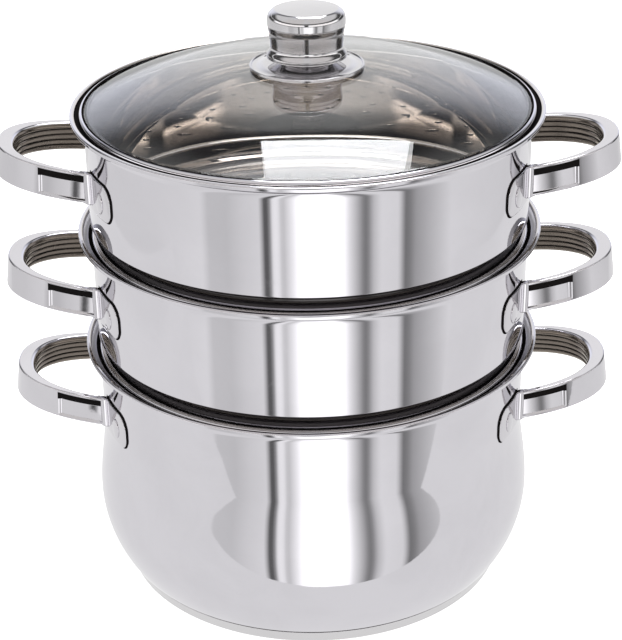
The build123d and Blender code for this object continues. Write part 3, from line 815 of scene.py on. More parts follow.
# %% Base cap
CAP_FOOT_R = 110.0
CAP_LIP = (111.3, 7.4)
CAP_ROUND = 2.6
CAP_SHEET = 0.6
cap_profile = chain(
    run((0, 0), (CAP_FOOT_R - CAP_ROUND, 0), 10),
    bend((CAP_FOOT_R - CAP_ROUND, CAP_ROUND), CAP_ROUND, -90, 0, 10),
    run((CAP_FOOT_R, CAP_ROUND), CAP_LIP),
    run((CAP_LIP[0] - CAP_SHEET, CAP_LIP[1]), (CAP_FOOT_R - CAP_SHEET, CAP_ROUND)),
    bend((CAP_FOOT_R - CAP_ROUND, CAP_ROUND), CAP_ROUND - CAP_SHEET, 0, -90, 10),
    run((CAP_FOOT_R - CAP_ROUND, CAP_SHEET), (0, CAP_SHEET), 10),
)
settle(spin("base_cap", cap_profile), "stockpot", base_steel, "base_steel", "stockpot_base_cap")

# %% [markdown]
# ## The steamer tiers
# Each tier is a straight wall that steps in at its foot, so that the foot drops into the
# rim below and the wall stands just above it. Its floor is pierced with rings of holes.
# A pierced floor is a grid too: each hole is the middle of one cell, and the rows of the
# grid go from the cell's edge in to the hole, down through the sheet and out again.
# The groove over the rim below and the round at the floor are painted darker, as painted shade.

# %% Tier shell
STEP_Z = 61.0
STEP_ROUND = 1.2
GROOVE_ROUND = 0.8
GROOVE_R = WALL_R - STEP_ROUND - GROOVE_ROUND
BEAD_Z = PITCH + 4.1
# Bulge and half height of the bead on each face of the sheet.
BEAD_INSIDE = (0.9, 0.75)
BEAD_OUTSIDE = (2.0, 1.3)
NEST_CORNER = 6.0
TIER_FLOOR_Z = PITCH + 14.0
FLOOR_STEP_R = 104.0
FLOOR_STEP_RUN = 1.6
FLOOR_STEP_RISE = 1.2
SIEVE_R = 96.0


def nest_side(rim, inset, bulge, half):
    """One face of a tier's side: wall, step, groove, bead, corner and the step of the floor."""
    step_z = rim - STEP_Z + STEP_ROUND
    start_z = rim + FLARE_START
    groove_r = GROOVE_R - inset
    floor_z = rim - TIER_FLOOR_Z + inset
    step_top = (FLOOR_STEP_R - FLOOR_STEP_RUN, floor_z + FLOOR_STEP_RISE)
    corner = NEST_CORNER - inset
    bead_z = rim - BEAD_Z
    bead_radius = (half**2 + bulge**2) / (2 * bulge)
    spread = np.degrees(np.arctan2(half, bead_radius - bulge))
    return chain(
        run((WALL_R - inset, start_z), (WALL_R - inset, step_z), 8),
        bend((WALL_R - STEP_ROUND, step_z), STEP_ROUND - inset, 0, -90, 8),
        bend((GROOVE_R + GROOVE_ROUND, rim - STEP_Z - GROOVE_ROUND), GROOVE_ROUND + inset, 90, 180, 6),
        run((groove_r, rim - STEP_Z - GROOVE_ROUND), (groove_r, bead_z + half), 6),
        bend((groove_r + bulge - bead_radius, bead_z), bead_radius, spread, -spread, 12),
        run((groove_r, bead_z - half), (groove_r, floor_z + corner), 2),
        bend((groove_r - corner, floor_z + corner), corner, 0, -90, 12),
        run((groove_r - corner, floor_z), (FLOOR_STEP_R, floor_z), 2),
        run((FLOOR_STEP_R, floor_z), step_top),
        run(step_top, (SIEVE_R, floor_z + FLOOR_STEP_RISE)),
    )


print("points down the outside of a tier", len(nest_side(0, 0, *BEAD_OUTSIDE)))


# %% Pierced floor
HOLE_R = 2.0
HOLE_EDGE = 0.12
HOLE_FLAT_R = HOLE_R + 0.3
RING_STEP = 17.5
# Points on the circle outside each ring of holes, ring 0 being the middle hole.
ARC_POINTS = {0: 24, 1: 48, 2: 72, 3: 144, 4: 240, 5: TURNS}
SIDE_POINTS = 4


def arc_ends(k):
    """Radius of the circle between the holes of ring k and those of ring k + 1."""
    return SIEVE_R if k == max(ARC_POINTS) else RING_STEP * (k + 0.5)


def pierced_ring(k, under_z):
    """Cells of one ring of holes, one grid a hole: cell edge, hole edge, down, and out again.

    The edge of a cell runs along its outer arc, in along one side, back along its inner
    arc and out along the other side. The hole has one point for each point of the edge,
    in the same direction from the hole's middle.
    """
    count = 6 * k if k else 1
    if k == 0:
        angle = np.linspace(0, 2 * np.pi, ARC_POINTS[0], endpoint=False)
        edge = arc_ends(0) * np.stack([np.cos(angle), np.sin(angle)], 1)
        middle = np.zeros(2)
    else:
        half = np.pi / count
        outer = np.linspace(-half, half, ARC_POINTS[k] // count + 1)[:-1]
        inner = np.linspace(half, -half, ARC_POINTS[k - 1] // count + 1)[:-1]
        inward = np.linspace(arc_ends(k), arc_ends(k - 1), SIDE_POINTS + 1)[:-1]
        outward = inward[::-1] + (arc_ends(k - 1) - inward[-1])
        radius = np.concatenate([0 * outer + arc_ends(k), inward, 0 * inner + arc_ends(k - 1), outward])
        angle = np.concatenate([outer, 0 * inward + half, inner, 0 * outward - half])
        edge = radius[:, None] * np.stack([np.cos(angle), np.sin(angle)], 1)
        middle = np.array([RING_STEP * k, 0.0])
    toward = np.arctan2(edge[:, 1] - middle[1], edge[:, 0] - middle[0])
    way = np.stack([np.cos(toward), np.sin(toward)], 1)
    over_z = under_z + SHEET
    rim = HOLE_R + HOLE_EDGE
    rows = [(None, over_z), (HOLE_FLAT_R, over_z), (rim, over_z), (HOLE_R, over_z - HOLE_EDGE)]
    rows += [(HOLE_R, under_z + HOLE_EDGE), (rim, under_z), (HOLE_FLAT_R, under_z), (None, under_z)]
    flat = np.stack([edge if radius is None else middle + radius * way for radius, _ in rows])
    sheets = []
    for turn in 2 * np.pi * np.arange(count) / count:
        x = flat[..., 0] * np.cos(turn) - flat[..., 1] * np.sin(turn)
        y = flat[..., 0] * np.sin(turn) + flat[..., 1] * np.cos(turn)
        z = np.broadcast_to(np.array([z for _, z in rows])[:, None], x.shape)
        sheets.append((np.stack([x, y, z], -1), False, True))
    return sheets


print("holes in rings", [len(pierced_ring(k, 0.0)) for k in ARC_POINTS])


# %% Where a tier lies in shade
FOOT_OUT_R = 110.0
FLOOR_CORNER_IN_R = 100.0


def foot_groove(rim):
    """Test for the groove round a tier's foot, between its step and the rim that it stands in, which is
    painted dark as painted shade.
    """

    def test(middle, way):
        r, outward = radial(middle, way)
        between = (middle[:, 2] < rim - STEP_Z + 1.0) & (middle[:, 2] > rim - PITCH - HEM_EDGE)
        return between & (outward > 0.05) & (r > FOOT_OUT_R)

    return test


def floor_corner(rim):
    """Test for the inside of a tier's lower corner and of the step round its floor, which are painted
    darker as painted shade.
    """

    def test(middle, way):
        r, outward = radial(middle, way)
        floor_z = rim - TIER_FLOOR_Z
        low = middle[:, 2] < floor_z + NEST_CORNER + 1.0
        high = middle[:, 2] > floor_z + 0.5
        return low & high & (r > FLOOR_CORNER_IN_R) & (outward < -0.1) & (way[:, 2] > 0.12)

    return test


# %% Both tiers
def make_tier(tier):
    """Shell and pierced floor of one tier, as one closed mesh."""
    rim = RIMS[tier]
    under_z = rim - TIER_FLOOR_Z + FLOOR_STEP_RISE
    inner, outer = nest_side(rim, SHEET, *BEAD_INSIDE), nest_side(rim, 0, *BEAD_OUTSIDE)
    side = chain(inner[::-1], lip_profile(rim), outer)
    sheets = [(turned(side), False, True)]
    for k in ARC_POINTS:
        sheets += pierced_ring(k, under_z)
    piece = settle(skin(f"{tier}_shell", *sheets), tier, mirror_steel, "polished_steel", f"{tier}_body")
    # Painted shade: the inside of the tier gets the darker, browner steel.
    paint(piece, inner_painted_shade_steel, inside)
    paint(piece, lip_steel, lip_slope(rim))
    # Painted shade: the flare's gap round the next foot, or under the lid's edge, is painted near black.
    paint(piece, painted_shade, under_lip(rim, LID_GAP_R if rim == LID else GAP_R))
    # Painted shade: the groove round the foot is painted dark.
    paint(piece, foot_painted_shade, foot_groove(rim))
    # Painted shade: the round at the floor is painted dark.
    paint(piece, corner_painted_shade, floor_corner(rim))


for tier in ("lower_steamer", "upper_steamer"):
    make_tier(tier)

# %% [markdown]
# ## The handles
# A handle is a hollow D-shaped loop of bent sheet, with a flat top, a crisp outer edge
# and four grooves pressed into the inside for grip. Its middle line is a superellipse,
# fuller than an ellipse at its corners. The surface is one grid: the rows follow the loop
# from leg to leg, and the columns go round the section. A point of the section says
# whether it is measured from the inner or the outer line, how far, and how deep it lies.
# Beside each leg a shallow panel is pressed into the outside. Its upper bevel and the bottoms
# of the grooves face down or lie deep, and are painted near black as painted shade. The inside
# of the loop is painted a darker, browner steel, also as painted shade.

# %% Sizes of a handle
HANDLE_X = 103.0
HANDLE_REACH = 65.0
HANDLE_HALF = 42.0
HANDLE_POWER = 2.3
HANDLE_TILT = np.radians(7.5)
HANDLE_HEIGHT = 16.4
HANDLE_DROP = 25.3
THICK_OUTER = 9.5
THICK_LEG = 5.0
LEG_END_R = 123.6
EDGE_ROUND = 0.8
GRIP_ROUND = 3.2
FLAT_END = 0.4
GROOVES = 4
GROOVE_PITCH = 3.0
GROOVE_DEPTH = 0.5
GROOVE_WIDTH = 0.9
GROOVE_DARK = 0.3
GROOVE_MIDDLES = -HANDLE_HEIGHT / 2 + GROOVE_PITCH * (np.arange(GROOVES) - (GROOVES - 1) / 2)
# The panels pressed into the legs: how deep, where their bevels lie below the top face, and
# where they start and how long their end bevel is, as shares of the way to the leg.
PANEL_DEPTH = 1.3
PANEL_DOWN = [1.3, 5.4, 14.4, 15.2]
PANEL_START = 0.705
PANEL_BEVEL = 0.014
LEG_TURN = np.radians(80.0)
PANEL_REACH = HANDLE_REACH * np.cos(PANEL_START * LEG_TURN) ** (2 / HANDLE_POWER)
# Limits for the tests below, which find the loop's faces by where they lie.
NEAR_OUTSIDE = 0.86
NEAR_INSIDE = 1.07
GRIP_EDGE = 0.9
print("handle", 2 * HANDLE_HALF, "mm wide, panels from", round(PANEL_REACH, 1), "mm along it to the legs")


# %% Section of a handle
def pressed_panel(share, depth):
    """How deep the panel is pressed into the outside of a leg, at a share and a depth.

    It grows by the smooth step 3 a^2 - 2 a^3 along the end bevel, and straight down the others.
    """
    along = np.clip((np.abs(share) - PANEL_START) / PANEL_BEVEL, 0, 1)
    down = np.interp(-depth, PANEL_DOWN, [0, 1, 1, 0])
    return PANEL_DEPTH * along**2 * (3 - 2 * along) * down


def sided(side, points):
    """Points (offset, depth) of the section with the side that they are measured from."""
    return np.insert(points, 0, side, axis=1)


def handle_section(grooved=True, grow=0.0):
    """Section as rows of (side, offset, depth): side 0 is the inner line and 1 the outer one."""
    edge, soft, low = EDGE_ROUND, GRIP_ROUND, -HANDLE_HEIGHT
    panel = [-edge, *(-d for d in PANEL_DOWN), low + edge]
    parts = [
        sided(0, run((soft, 0), (soft + FLAT_END, 0))),
        sided(1, run((-edge - FLAT_END, 0), (-edge, 0))),
        sided(1, bend((-edge, -edge), edge, 90, 0, 5)),
        sided(1, chain(*(run((0, a), (0, b), 2) for a, b in zip(panel[:-1], panel[1:])))),
        sided(1, bend((-edge, low + edge), edge, 0, -90, 5)),
        sided(1, run((-edge, low), (-edge - FLAT_END, low))),
        sided(0, run((soft + FLAT_END, low), (soft, low))),
        sided(0, bend((soft, low + soft), soft, -90, -180, 7)),
    ]
    depth = np.linspace(low + soft, -soft, 65)
    near = np.abs(depth[:, None] - GROOVE_MIDDLES).min(axis=1)
    pressed = GROOVE_DEPTH * 0.5 * (1 + np.cos(np.pi * np.clip(near / GROOVE_WIDTH, 0, 1)))
    parts.append(np.stack([0 * depth, pressed if grooved else 0 * depth, depth], 1))
    parts.append(sided(0, bend((soft, -soft), soft, 180, 90, 7)))
    section = np.concatenate(parts)
    keep = np.linalg.norm(np.diff(section, axis=0, append=section[:1]), axis=1) > 1e-4
    section = section[keep]
    if grow:
        section[:, 1] += np.where(section[:, 0] > 0, grow, -grow)
        section[:, 2] += np.where(section[:, 2] > low / 2, grow, -2 * grow)
    return section


print("section points", len(handle_section()))


# %% From the section to the loop
def leg_end(section, radius):
    """How far along its line each point of the section meets a column round the pot's axis."""
    outer = section[:, 0] > 0
    reach = np.where(outer, HANDLE_REACH, HANDLE_REACH - THICK_OUTER)
    half = np.where(outer, HANDLE_HALF, HANDLE_HALF - THICK_LEG)
    y = half.astype(float)
    for _ in range(4):
        x = np.sqrt(radius**2 - y**2)
        along = (x - HANDLE_X + section[:, 2] * np.sin(HANDLE_TILT)) / np.cos(HANDLE_TILT)
        y = half * (1 - (along / reach) ** HANDLE_POWER) ** (1 / HANDLE_POWER) + section[:, 1]
    return along, reach, half


def to_tier(along, y, depth, side, rim):
    """From the handle's tipped plane to the pot: along and depth turn by the tilt."""
    x = side * (HANDLE_X + along * np.cos(HANDLE_TILT) - depth * np.sin(HANDLE_TILT))
    z = rim - HANDLE_DROP + along * np.sin(HANDLE_TILT) + depth * np.cos(HANDLE_TILT)
    return np.stack([x, y, z], -1)


def loop_grid(section, side, rim, radius, share, panel=0.0):
    """Rows of the section along the loop, at shares of the way from the outer end to each leg."""
    along_end, reach, half = leg_end(section, radius)
    turn_end = np.arccos((along_end / reach) ** (HANDLE_POWER / 2))
    turn = share[:, None] * turn_end
    power = 2 / HANDLE_POWER
    cosine, sine = np.cos(turn) ** power, np.sign(turn) * np.abs(np.sin(turn)) ** power
    inner_a, inner_y = (HANDLE_REACH - THICK_OUTER) * cosine, (HANDLE_HALF - THICK_LEG) * sine
    outer_a, outer_y = HANDLE_REACH * cosine, HANDLE_HALF * sine
    gap = np.hypot(outer_a - inner_a, outer_y - inner_y)
    way_a, way_y = (outer_a - inner_a) / gap, (outer_y - inner_y) / gap
    outer = section[:, 0] > 0
    offset = section[:, 1] - panel * np.where(outer, pressed_panel(share[:, None], section[:, 2]), 0)
    along = np.where(outer, outer_a, inner_a) + way_a * offset
    y = np.where(outer, outer_y, inner_y) + way_y * offset
    return to_tier(along, y, section[:, 2], side, rim)


# %% Faces of a handle that are in shade
def from_tier(middle, side, rim):
    """Back from the pot to the handle's tipped plane: along and depth."""
    x, z = side * middle[:, 0] - HANDLE_X, middle[:, 2] - rim + HANDLE_DROP
    along = x * np.cos(HANDLE_TILT) + z * np.sin(HANDLE_TILT)
    return along, z * np.cos(HANDLE_TILT) - x * np.sin(HANDLE_TILT)


def on_line(along, y, reach, half):
    """Superellipse level of a point: 1 on the line with this reach and half width, less inside."""
    return np.abs(along / reach) ** HANDLE_POWER + np.abs(y / half) ** HANDLE_POWER


def panel_bevel(side, rim):
    """Test for the overhanging upper bevel of the pressed panels, which is painted near black as painted
    shade.
    """

    def test(middle, way):
        along, depth = from_tier(middle, side, rim)
        outside = on_line(along, middle[:, 1], HANDLE_REACH, HANDLE_HALF) > NEAR_OUTSIDE
        sloped = (depth < -PANEL_DOWN[0]) & (depth > -PANEL_DOWN[1])
        return sloped & outside & (along < PANEL_REACH)

    return test


def grip_side(side, rim):
    """Test for faces on the inside of the loop: they lie on its inner line, away from the rounds."""

    def test(middle, way):
        along, depth = from_tier(middle, side, rim)
        level = on_line(along, middle[:, 1], HANDLE_REACH - THICK_OUTER, HANDLE_HALF - THICK_LEG)
        return (level < NEAR_INSIDE) & (depth < -GRIP_EDGE) & (depth > GRIP_EDGE - HANDLE_HEIGHT)

    return test


def groove_floor(side, rim):
    """Test for the bottoms of the pressed grooves, which are painted near black as painted shade."""

    def test(middle, way):
        along, depth = from_tier(middle, side, rim)
        near = np.abs(depth[:, None] - GROOVE_MIDDLES).min(axis=1)
        return grip_side(side, rim)(middle, way) & (near < GROOVE_DARK)

    return test


# %% Six handles
SIDES = (("left", -1), ("right", 1))
LOOP_ROWS = 121
shares = 0.5 * np.sin(np.linspace(-np.pi / 2, np.pi / 2, LOOP_ROWS)) + 0.5 * np.linspace(-1, 1, LOOP_ROWS)
bevel_rows = PANEL_START + PANEL_BEVEL * np.linspace(-0.3, 1.3, 9)
shares = np.sort(np.concatenate([shares, bevel_rows, -bevel_rows]))
for tier, rim in RIMS.items():
    for side_name, side in SIDES:
        name = f"{tier}_{side_name}_handle"
        grid = close_ends(loop_grid(handle_section(), side, rim, LEG_END_R, shares, panel=1.0))
        piece = skin(f"{name}_loop", (grid, False, True))
        settle(piece, tier, handle_steel, "handle_steel", name)
        # Painted shade: the inside of the loop is painted dark brown.
        paint(piece, grip_painted_shade, grip_side(side, rim))
        # Painted shade: the panels' upper bevels and the groove bottoms are painted near black.
        paint(piece, painted_shade, panel_bevel(side, rim))
        paint(piece, painted_shade, groove_floor(side, rim))

# %% [markdown]
# ## Ears and weld buttons
# Each leg stands on a pressed ear that hugs the wall, with an oval button where it is
# welded. An ear is drawn flat as an outline and then bent round the wall: its rows go
# from the outline's foot up its edge, over a small round and in to the middle.

# %% Sizes of ears, collars and buttons
EAR_R = 121.2
EAR_ANGLE = 25.5
EAR_DROP = (23.6, 43.6)
EAR_HALF = (15.0, 10.0)
# Rounds of its corners: upper and lower at the free end, and both at the leg.
EAR_CORNERS = (9.0, 6.5, 0.5)
# A hair-thin sheet on the wall round each ear, and the ear's low edge, are painted near black as a painted
# shadow line.
EAR_SHADOW_BORDER = 0.7
SHADOW_BORDER_TOP = 0.45
EAR_GAP = 0.03
EAR_ROUND = 0.4
COLLAR_GROW = 0.35
COLLAR_ROUND = 0.3
COLLAR_R = 123.9
BUTTON_HALF = (4.2, 5.8)
BUTTON_ANGLE = 26.7
BUTTON_DROP = 35.0
BUTTON_FOOT = -0.1
BUTTON_RISE = 0.6
BUTTON_ROUND = 0.5
BUTTON_CROWN = 0.2
print("ears stand", round(EAR_R - WALL_R, 1), "mm off the wall, buttons", BUTTON_RISE, "mm off the ears")


# %% Outline and surface of an ear
def on_wall(u, v, radius, side, end, angle, height):
    """Flat point (u along the wall, v up) pushed out to a radius round the pot's axis."""
    a = np.radians(angle)
    out = np.sqrt(radius**2 - u**2)
    x = side * (out * np.cos(a) - u * np.sin(a))
    y = end * (out * np.sin(a) + u * np.cos(a))
    return np.stack([x, y, height + v], -1)


def ear_outline():
    """Ear seen square on: square towards the leg, well rounded at its free end."""
    half_l, half_h = EAR_HALF
    top, foot, corner = EAR_CORNERS
    return chain(
        bend((half_l - foot, foot - half_h), foot, -90, 0, 12),
        bend((half_l - top, half_h - top), top, 0, 90, 16),
        run((half_l - top, half_h), (corner - half_l, half_h), 4),
        bend((corner - half_l, half_h - corner), corner, 90, 180, 3),
        run((-half_l, half_h - corner), (-half_l, corner - half_h), 4),
        bend((corner - half_l, corner - half_h), corner, 180, 270, 3),
        run((corner - half_l, -half_h), (half_l - foot, -half_h), 4)[:-1],
    )


def pad_grid(outline, radius_foot, radius_face, edge, place, steps=6, crown=0.0, shadow_border=0.0):
    """Rows from the back of a pad round its edge and in over its face to the middle.

    A shadow border is a hair-thin sheet on the wall round the pad, that many millimetres wide, which
    carries a painted shadow line.
    """
    half = np.abs(outline).max(axis=0)
    turn = np.radians(np.linspace(0, 90, 6))
    levels = [(0.0, radius_foot)]
    if shadow_border:
        levels = [(-shadow_border, radius_foot), (-shadow_border, radius_foot + 0.05), (0.0, radius_foot + 0.06)]
    levels += [(edge * (1 - np.cos(t)), radius_face - edge * (1 - np.sin(t))) for t in turn]
    rows = [on_wall(*(0 * outline.T), radius_foot, *place)]
    for inset, radius in levels:
        rows.append(on_wall(*(outline * (1 - inset / half)).T, radius, *place))
    for share in np.linspace(1, 0, steps + 1)[1:]:
        ring = outline * (1 - edge / half) * share
        rows.append(on_wall(*ring.T, radius_face + crown * (1 - share**2), *place))
    return np.stack(rows)


def ear_painted_shadow(middle, way):
    """Faces of an ear that lie low against the wall, painted near black as a painted shadow line round the
    ear.
    """
    r, outward = radial(middle, way)
    return r < EAR_R - SHADOW_BORDER_TOP


# %% Twelve ears, twelve collars and twelve buttons
button_turn = np.linspace(0, 2 * np.pi, 40, endpoint=False)
button_outline = np.stack([np.cos(button_turn), np.sin(button_turn)], 1) * BUTTON_HALF
collar_section = handle_section(grooved=False, grow=COLLAR_GROW)
collar_rows = ((WALL_R + EAR_GAP, 0), (COLLAR_R, 0), (COLLAR_R + 0.4, COLLAR_ROUND))
for tier, rim in RIMS.items():
    for side_name, side in SIDES:
        buttons = []
        for end_name, end in (("front", -1), ("back", 1)):
            place = (side, end, EAR_ANGLE, rim - sum(EAR_DROP) / 2)
            ear = pad_grid(ear_outline(), WALL_R + EAR_GAP, EAR_R, EAR_ROUND, place, shadow_border=EAR_SHADOW_BORDER)
            collar = []
            for radius, shrink in collar_rows:
                part = collar_section.copy()
                part[:, 1] += np.where(part[:, 0] > 0, -shrink, shrink)
                part[:, 2] += np.where(part[:, 2] > -HANDLE_HEIGHT / 2, -shrink, shrink)
                collar.append(loop_grid(part, side, rim, radius, np.array([float(end)]))[0])
            collar = close_ends(np.stack(collar))
            name = f"{tier}_{side_name}_{end_name}_bracket"
            piece = skin(f"{name}_ear", (ear, False, True), (collar, False, True))
            settle(piece, tier, handle_steel, "handle_steel", name)
            # Painted shadow: the border and low edge of the ear are painted near black.
            paint(piece, painted_shade, ear_painted_shadow)
            place = (side, end, BUTTON_ANGLE, rim - BUTTON_DROP)
            foot, face = EAR_R + BUTTON_FOOT, EAR_R + BUTTON_RISE
            button = pad_grid(button_outline, foot, face, BUTTON_ROUND, place, crown=BUTTON_CROWN)
            buttons.append((button, False, True))
        name = f"{tier}_{side_name}_weld_buttons"
        settle(skin(f"{name}_ovals", *buttons), tier, handle_steel, "handle_steel", name)

# %% [markdown]
# ## The lid
# The lid is a dome of thick tempered glass. Its crown is a very wide arc that turns down
# more tightly at the shoulder, and a folded steel band holds the edge.

# %% Glass dome
BAND_R = 122.2
BAND_IN_R = 119.2
BAND_TOP = LID + 1.0
BAND_BOTTOM = LID - 3.3
BAND_SHEET = 0.5
BAND_ROUND = (BAND_TOP - BAND_BOTTOM) / 2
BAND_MIDDLE = (BAND_R - BAND_ROUND, BAND_BOTTOM + BAND_ROUND)
GLASS_TOP = BAND_TOP - BAND_SHEET
GLASS_FOOT = BAND_BOTTOM + BAND_SHEET
GLASS_THICK = GLASS_TOP - GLASS_FOOT
CROWN_TOP = 20.8
CROWN_ARC_R = 405.0
CROWN_END_R = 80.0
GLASS_HOLE_R = 5.0
GLASS_UNDER_R = 116.9
GLASS_OVER_R = 118.6


def tangent_bend(start, way, end, count):
    """Round that leaves start along a way, curving to its right, and ends at end."""
    start, end, way = np.array(start, float), np.array(end, float), np.array(way, float)
    normal = np.array([way[1], -way[0]])
    across = end - start
    radius = across @ across / (2 * across @ normal)
    centre = start + radius * normal
    first, last = (np.degrees(np.arctan2(*(p - centre)[::-1])) for p in (start, end))
    return bend(centre, radius, first, last, count)


def dome_side(drop, end):
    """One face of the dome, from the knob's hole to the foot of its shoulder."""
    slope = np.arcsin(CROWN_END_R / CROWN_ARC_R)
    centre = (0, LID + CROWN_TOP - CROWN_ARC_R)
    first = 90 - np.degrees(np.arcsin(GLASS_HOLE_R / (CROWN_ARC_R - drop)))
    crown = bend(centre, CROWN_ARC_R - drop, first, 90 - np.degrees(slope), 24)
    return chain(crown, tangent_bend(crown[-1], (np.cos(slope), -np.sin(slope)), end, 24))


glass_profile = chain(
    dome_side(GLASS_THICK, (GLASS_UNDER_R, GLASS_FOOT)),
    run((GLASS_UNDER_R, GLASS_FOOT), (BAND_MIDDLE[0], GLASS_FOOT)),
    bend(BAND_MIDDLE, GLASS_THICK / 2, -90, 90, 14),
    run((BAND_MIDDLE[0], GLASS_TOP), (GLASS_OVER_R, GLASS_TOP)),
    dome_side(0, (GLASS_OVER_R, GLASS_TOP))[::-1],
)
settle(spin("glass_dome", glass_profile), "lid", lid_glass_finish, "lid_glass", "lid_glass")

# %% Steel band
EDGE_ROLL = 0.24
EDGE_SHADE_R = BAND_IN_R + 1.2
BAND_GAP = 0.02
band_profile = chain(
    bend((BAND_IN_R + EDGE_ROLL, BAND_BOTTOM + BAND_SHEET / 2), BAND_SHEET / 2, 180, 270, 5),
    run((BAND_IN_R + BAND_SHEET, BAND_BOTTOM), (BAND_MIDDLE[0], BAND_BOTTOM)),
    bend(BAND_MIDDLE, BAND_ROUND, -90, 90, 28),
    run((BAND_MIDDLE[0], BAND_TOP), (EDGE_SHADE_R, BAND_TOP)),
    run((EDGE_SHADE_R, BAND_TOP), (BAND_IN_R + BAND_SHEET, BAND_TOP)),
    bend((BAND_IN_R + EDGE_ROLL, BAND_TOP - BAND_SHEET / 2), BAND_SHEET / 2, 90, 180, 5),
    run((BAND_IN_R, GLASS_TOP + BAND_GAP), (BAND_MIDDLE[0], GLASS_TOP + BAND_GAP)),
    bend(BAND_MIDDLE, GLASS_THICK / 2 + BAND_GAP, 90, -90, 14),
    run((BAND_MIDDLE[0], GLASS_FOOT - BAND_GAP), (BAND_IN_R, GLASS_FOOT - BAND_GAP)),
)
band = settle(spin("lid_band", band_profile), "lid", mirror_steel, "polished_steel", "lid_rim_band")


def band_edge(middle, way):
    """Inner edge of the band's upper face, where it meets the glass, painted near black as a painted shadow
    line.
    """
    r, outward = radial(middle, way)
    return (r < EDGE_SHADE_R - 0.1) & (middle[:, 2] > LID)


# Painted shade: the band's inner edge is painted near black.
paint(band, painted_shade, band_edge)

# %% [markdown]
# ## The knob
# The knob is spun from three pieces of sheet: a shallow dish on the glass, a flared cup
# standing in it, and a cap with a pinched waist, pressed over the cup's lip.

# %% Knob dish and cup
KNOB_TURNS = 180
DISH_FLOOR = LID + 21.4
DISH_SHEET = 0.6
DISH_FLAT_R = 22.0
DISH_R = 30.6
ROLL_R = 0.6
ROLL_Z = LID + 21.1
HEM_Z = LID + 20.1
SCREW_R = 2.5
hem_in_r = DISH_R - DISH_SHEET
dish_profile = chain(
    run((SCREW_R, DISH_FLOOR), (DISH_FLAT_R, DISH_FLOOR), 3),
    ease((DISH_FLAT_R, DISH_FLOOR), (hem_in_r, ROLL_Z - DISH_SHEET), (1, 0), (1, 0.2), 14),
    run((hem_in_r, ROLL_Z - DISH_SHEET), (hem_in_r, HEM_Z)),
    run((hem_in_r, HEM_Z), (DISH_R, HEM_Z)),
    run((DISH_R, HEM_Z), (DISH_R, ROLL_Z)),
    bend((DISH_R - ROLL_R, ROLL_Z), ROLL_R, 0, 180, 12),
    ease((DISH_R - 2 * ROLL_R, ROLL_Z), (DISH_FLAT_R, DISH_FLOOR + DISH_SHEET), (-1, -0.2), (-1, 0), 14),
    run((DISH_FLAT_R, DISH_FLOOR + DISH_SHEET), (SCREW_R, DISH_FLOOR + DISH_SHEET), 3),
)
settle(spin("knob_dish_skin", dish_profile, KNOB_TURNS), "lid", knob_steel, "knob_steel", "knob_dish")
CUP_FLOOR = DISH_FLOOR + DISH_SHEET
CUP_SHEET = 0.8
CUP_FOOT_R = 14.4
CUP_LIP = (21.5, LID + 26.5)
CUP_LIP_ROUND = 0.4
floor_r, inner_r = CUP_FOOT_R - CUP_SHEET, CUP_FOOT_R - 2 * CUP_SHEET
cup_profile = chain(
    run((SCREW_R, CUP_FLOOR), (floor_r, CUP_FLOOR), 2),
    ease((floor_r, CUP_FLOOR), (CUP_FOOT_R, CUP_FLOOR + CUP_SHEET), (1, 0), (1, 1), 6),
    run((CUP_FOOT_R, CUP_FLOOR + CUP_SHEET), (CUP_LIP[0] - 0.3, CUP_LIP[1] - 0.5), 3),
    bend((CUP_LIP[0] - CUP_LIP_ROUND, CUP_LIP[1] - CUP_LIP_ROUND), CUP_LIP_ROUND, -30, 90, 6),
    run((CUP_LIP[0] - 2 * CUP_SHEET, CUP_LIP[1]), (floor_r, CUP_FLOOR + 2 * CUP_SHEET), 3),
    run((floor_r, CUP_FLOOR + 2 * CUP_SHEET), (inner_r, CUP_FLOOR + CUP_SHEET)),
    run((inner_r, CUP_FLOOR + CUP_SHEET), (SCREW_R, CUP_FLOOR + CUP_SHEET), 2),
)
settle(spin("knob_cup_skin", cup_profile, KNOB_TURNS), "lid", knob_steel, "knob_steel", "knob_cup")

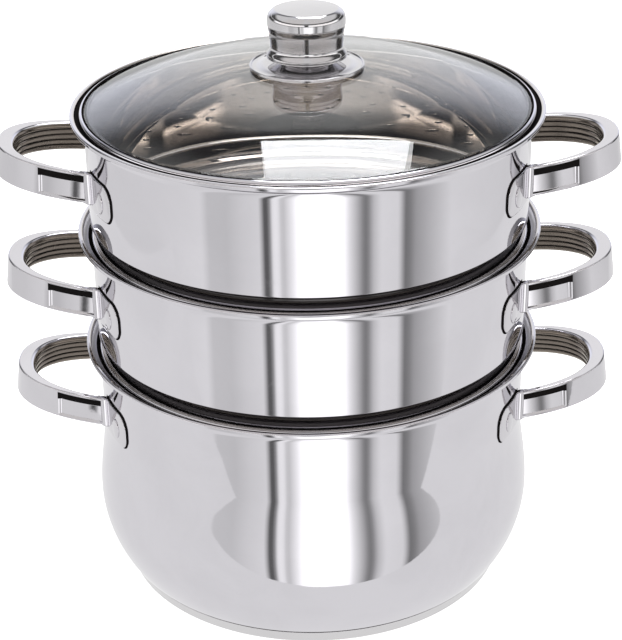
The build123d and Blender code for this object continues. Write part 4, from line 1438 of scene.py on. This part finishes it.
# %% Knob cap
KNOB_SHEET = 0.8
SKIRT_HEIGHT = 0.8
# Points of the cap's side: radius, and height over the upper rim.
SKIRT, WAIST, FLANK, WIDE = (21.3, 26.7), (19.35, 31.6), (20.1, 39.6), (20.8, 43.6)
BENT, SHOULDER, TOP = (19.75, 49.1), (16.4, 51.2), (0.0, 52.0)


def cap_side(inset):
    """One face of the cap: skirt, waist, side, shoulder and crown."""
    skirt, waist, flank, wide = ((r - inset, LID + z) for r, z in (SKIRT, WAIST, FLANK, WIDE))
    slant = inset / np.sqrt(2)
    bent = (BENT[0] - slant, LID + BENT[1] - slant)
    shoulder, top = ((r, LID + z - inset) for r, z in (SHOULDER, TOP))
    slope = 2 * np.arctan2(TOP[1] - SHOULDER[1], SHOULDER[0])
    crown = tangent_bend(top, (1, 0), shoulder, 16)
    return chain(
        run(skirt, (skirt[0], skirt[1] + SKIRT_HEIGHT)),
        ease((skirt[0], skirt[1] + SKIRT_HEIGHT), waist, (-0.5, 1), (0.04, 1), 12),
        ease(waist, flank, (0.04, 1), (0.06, 1), 12),
        ease(flank, wide, (0.06, 1), (0, 1), 12),
        ease(wide, bent, (0, 1), (-0.7, 0.8), 12),
        ease(bent, shoulder, (-0.7, 0.8), (-np.cos(slope), np.sin(slope)), 12),
        crown[::-1],
    )


cap = chain(cap_side(0), cap_side(KNOB_SHEET)[::-1])
settle(spin("knob_cap_skin", cap, KNOB_TURNS), "lid", knob_steel, "knob_steel", "knob_cap")

# %% [markdown]
# ## Small pieces kept as they are
# The screw, its washer, the silicone bush, the plug and the nut have their right shape
# already, and only get a finish.

# %% Finishes for the kept solids
KEPT = {
    "lid_screw": knob_steel,
    "lid_screw_washer": knob_steel,
    "lid_glass_bush": silicone_finish,
    "knob_core": plug_finish,
    "knob_nut": knob_steel,
    "stockpot_heat_disc": alloy_finish,
}
for node, finish in KEPT.items():
    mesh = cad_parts[node].data
    mesh.materials.clear()
    mesh.materials.append(finish)
print("kept solids", sorted(KEPT))
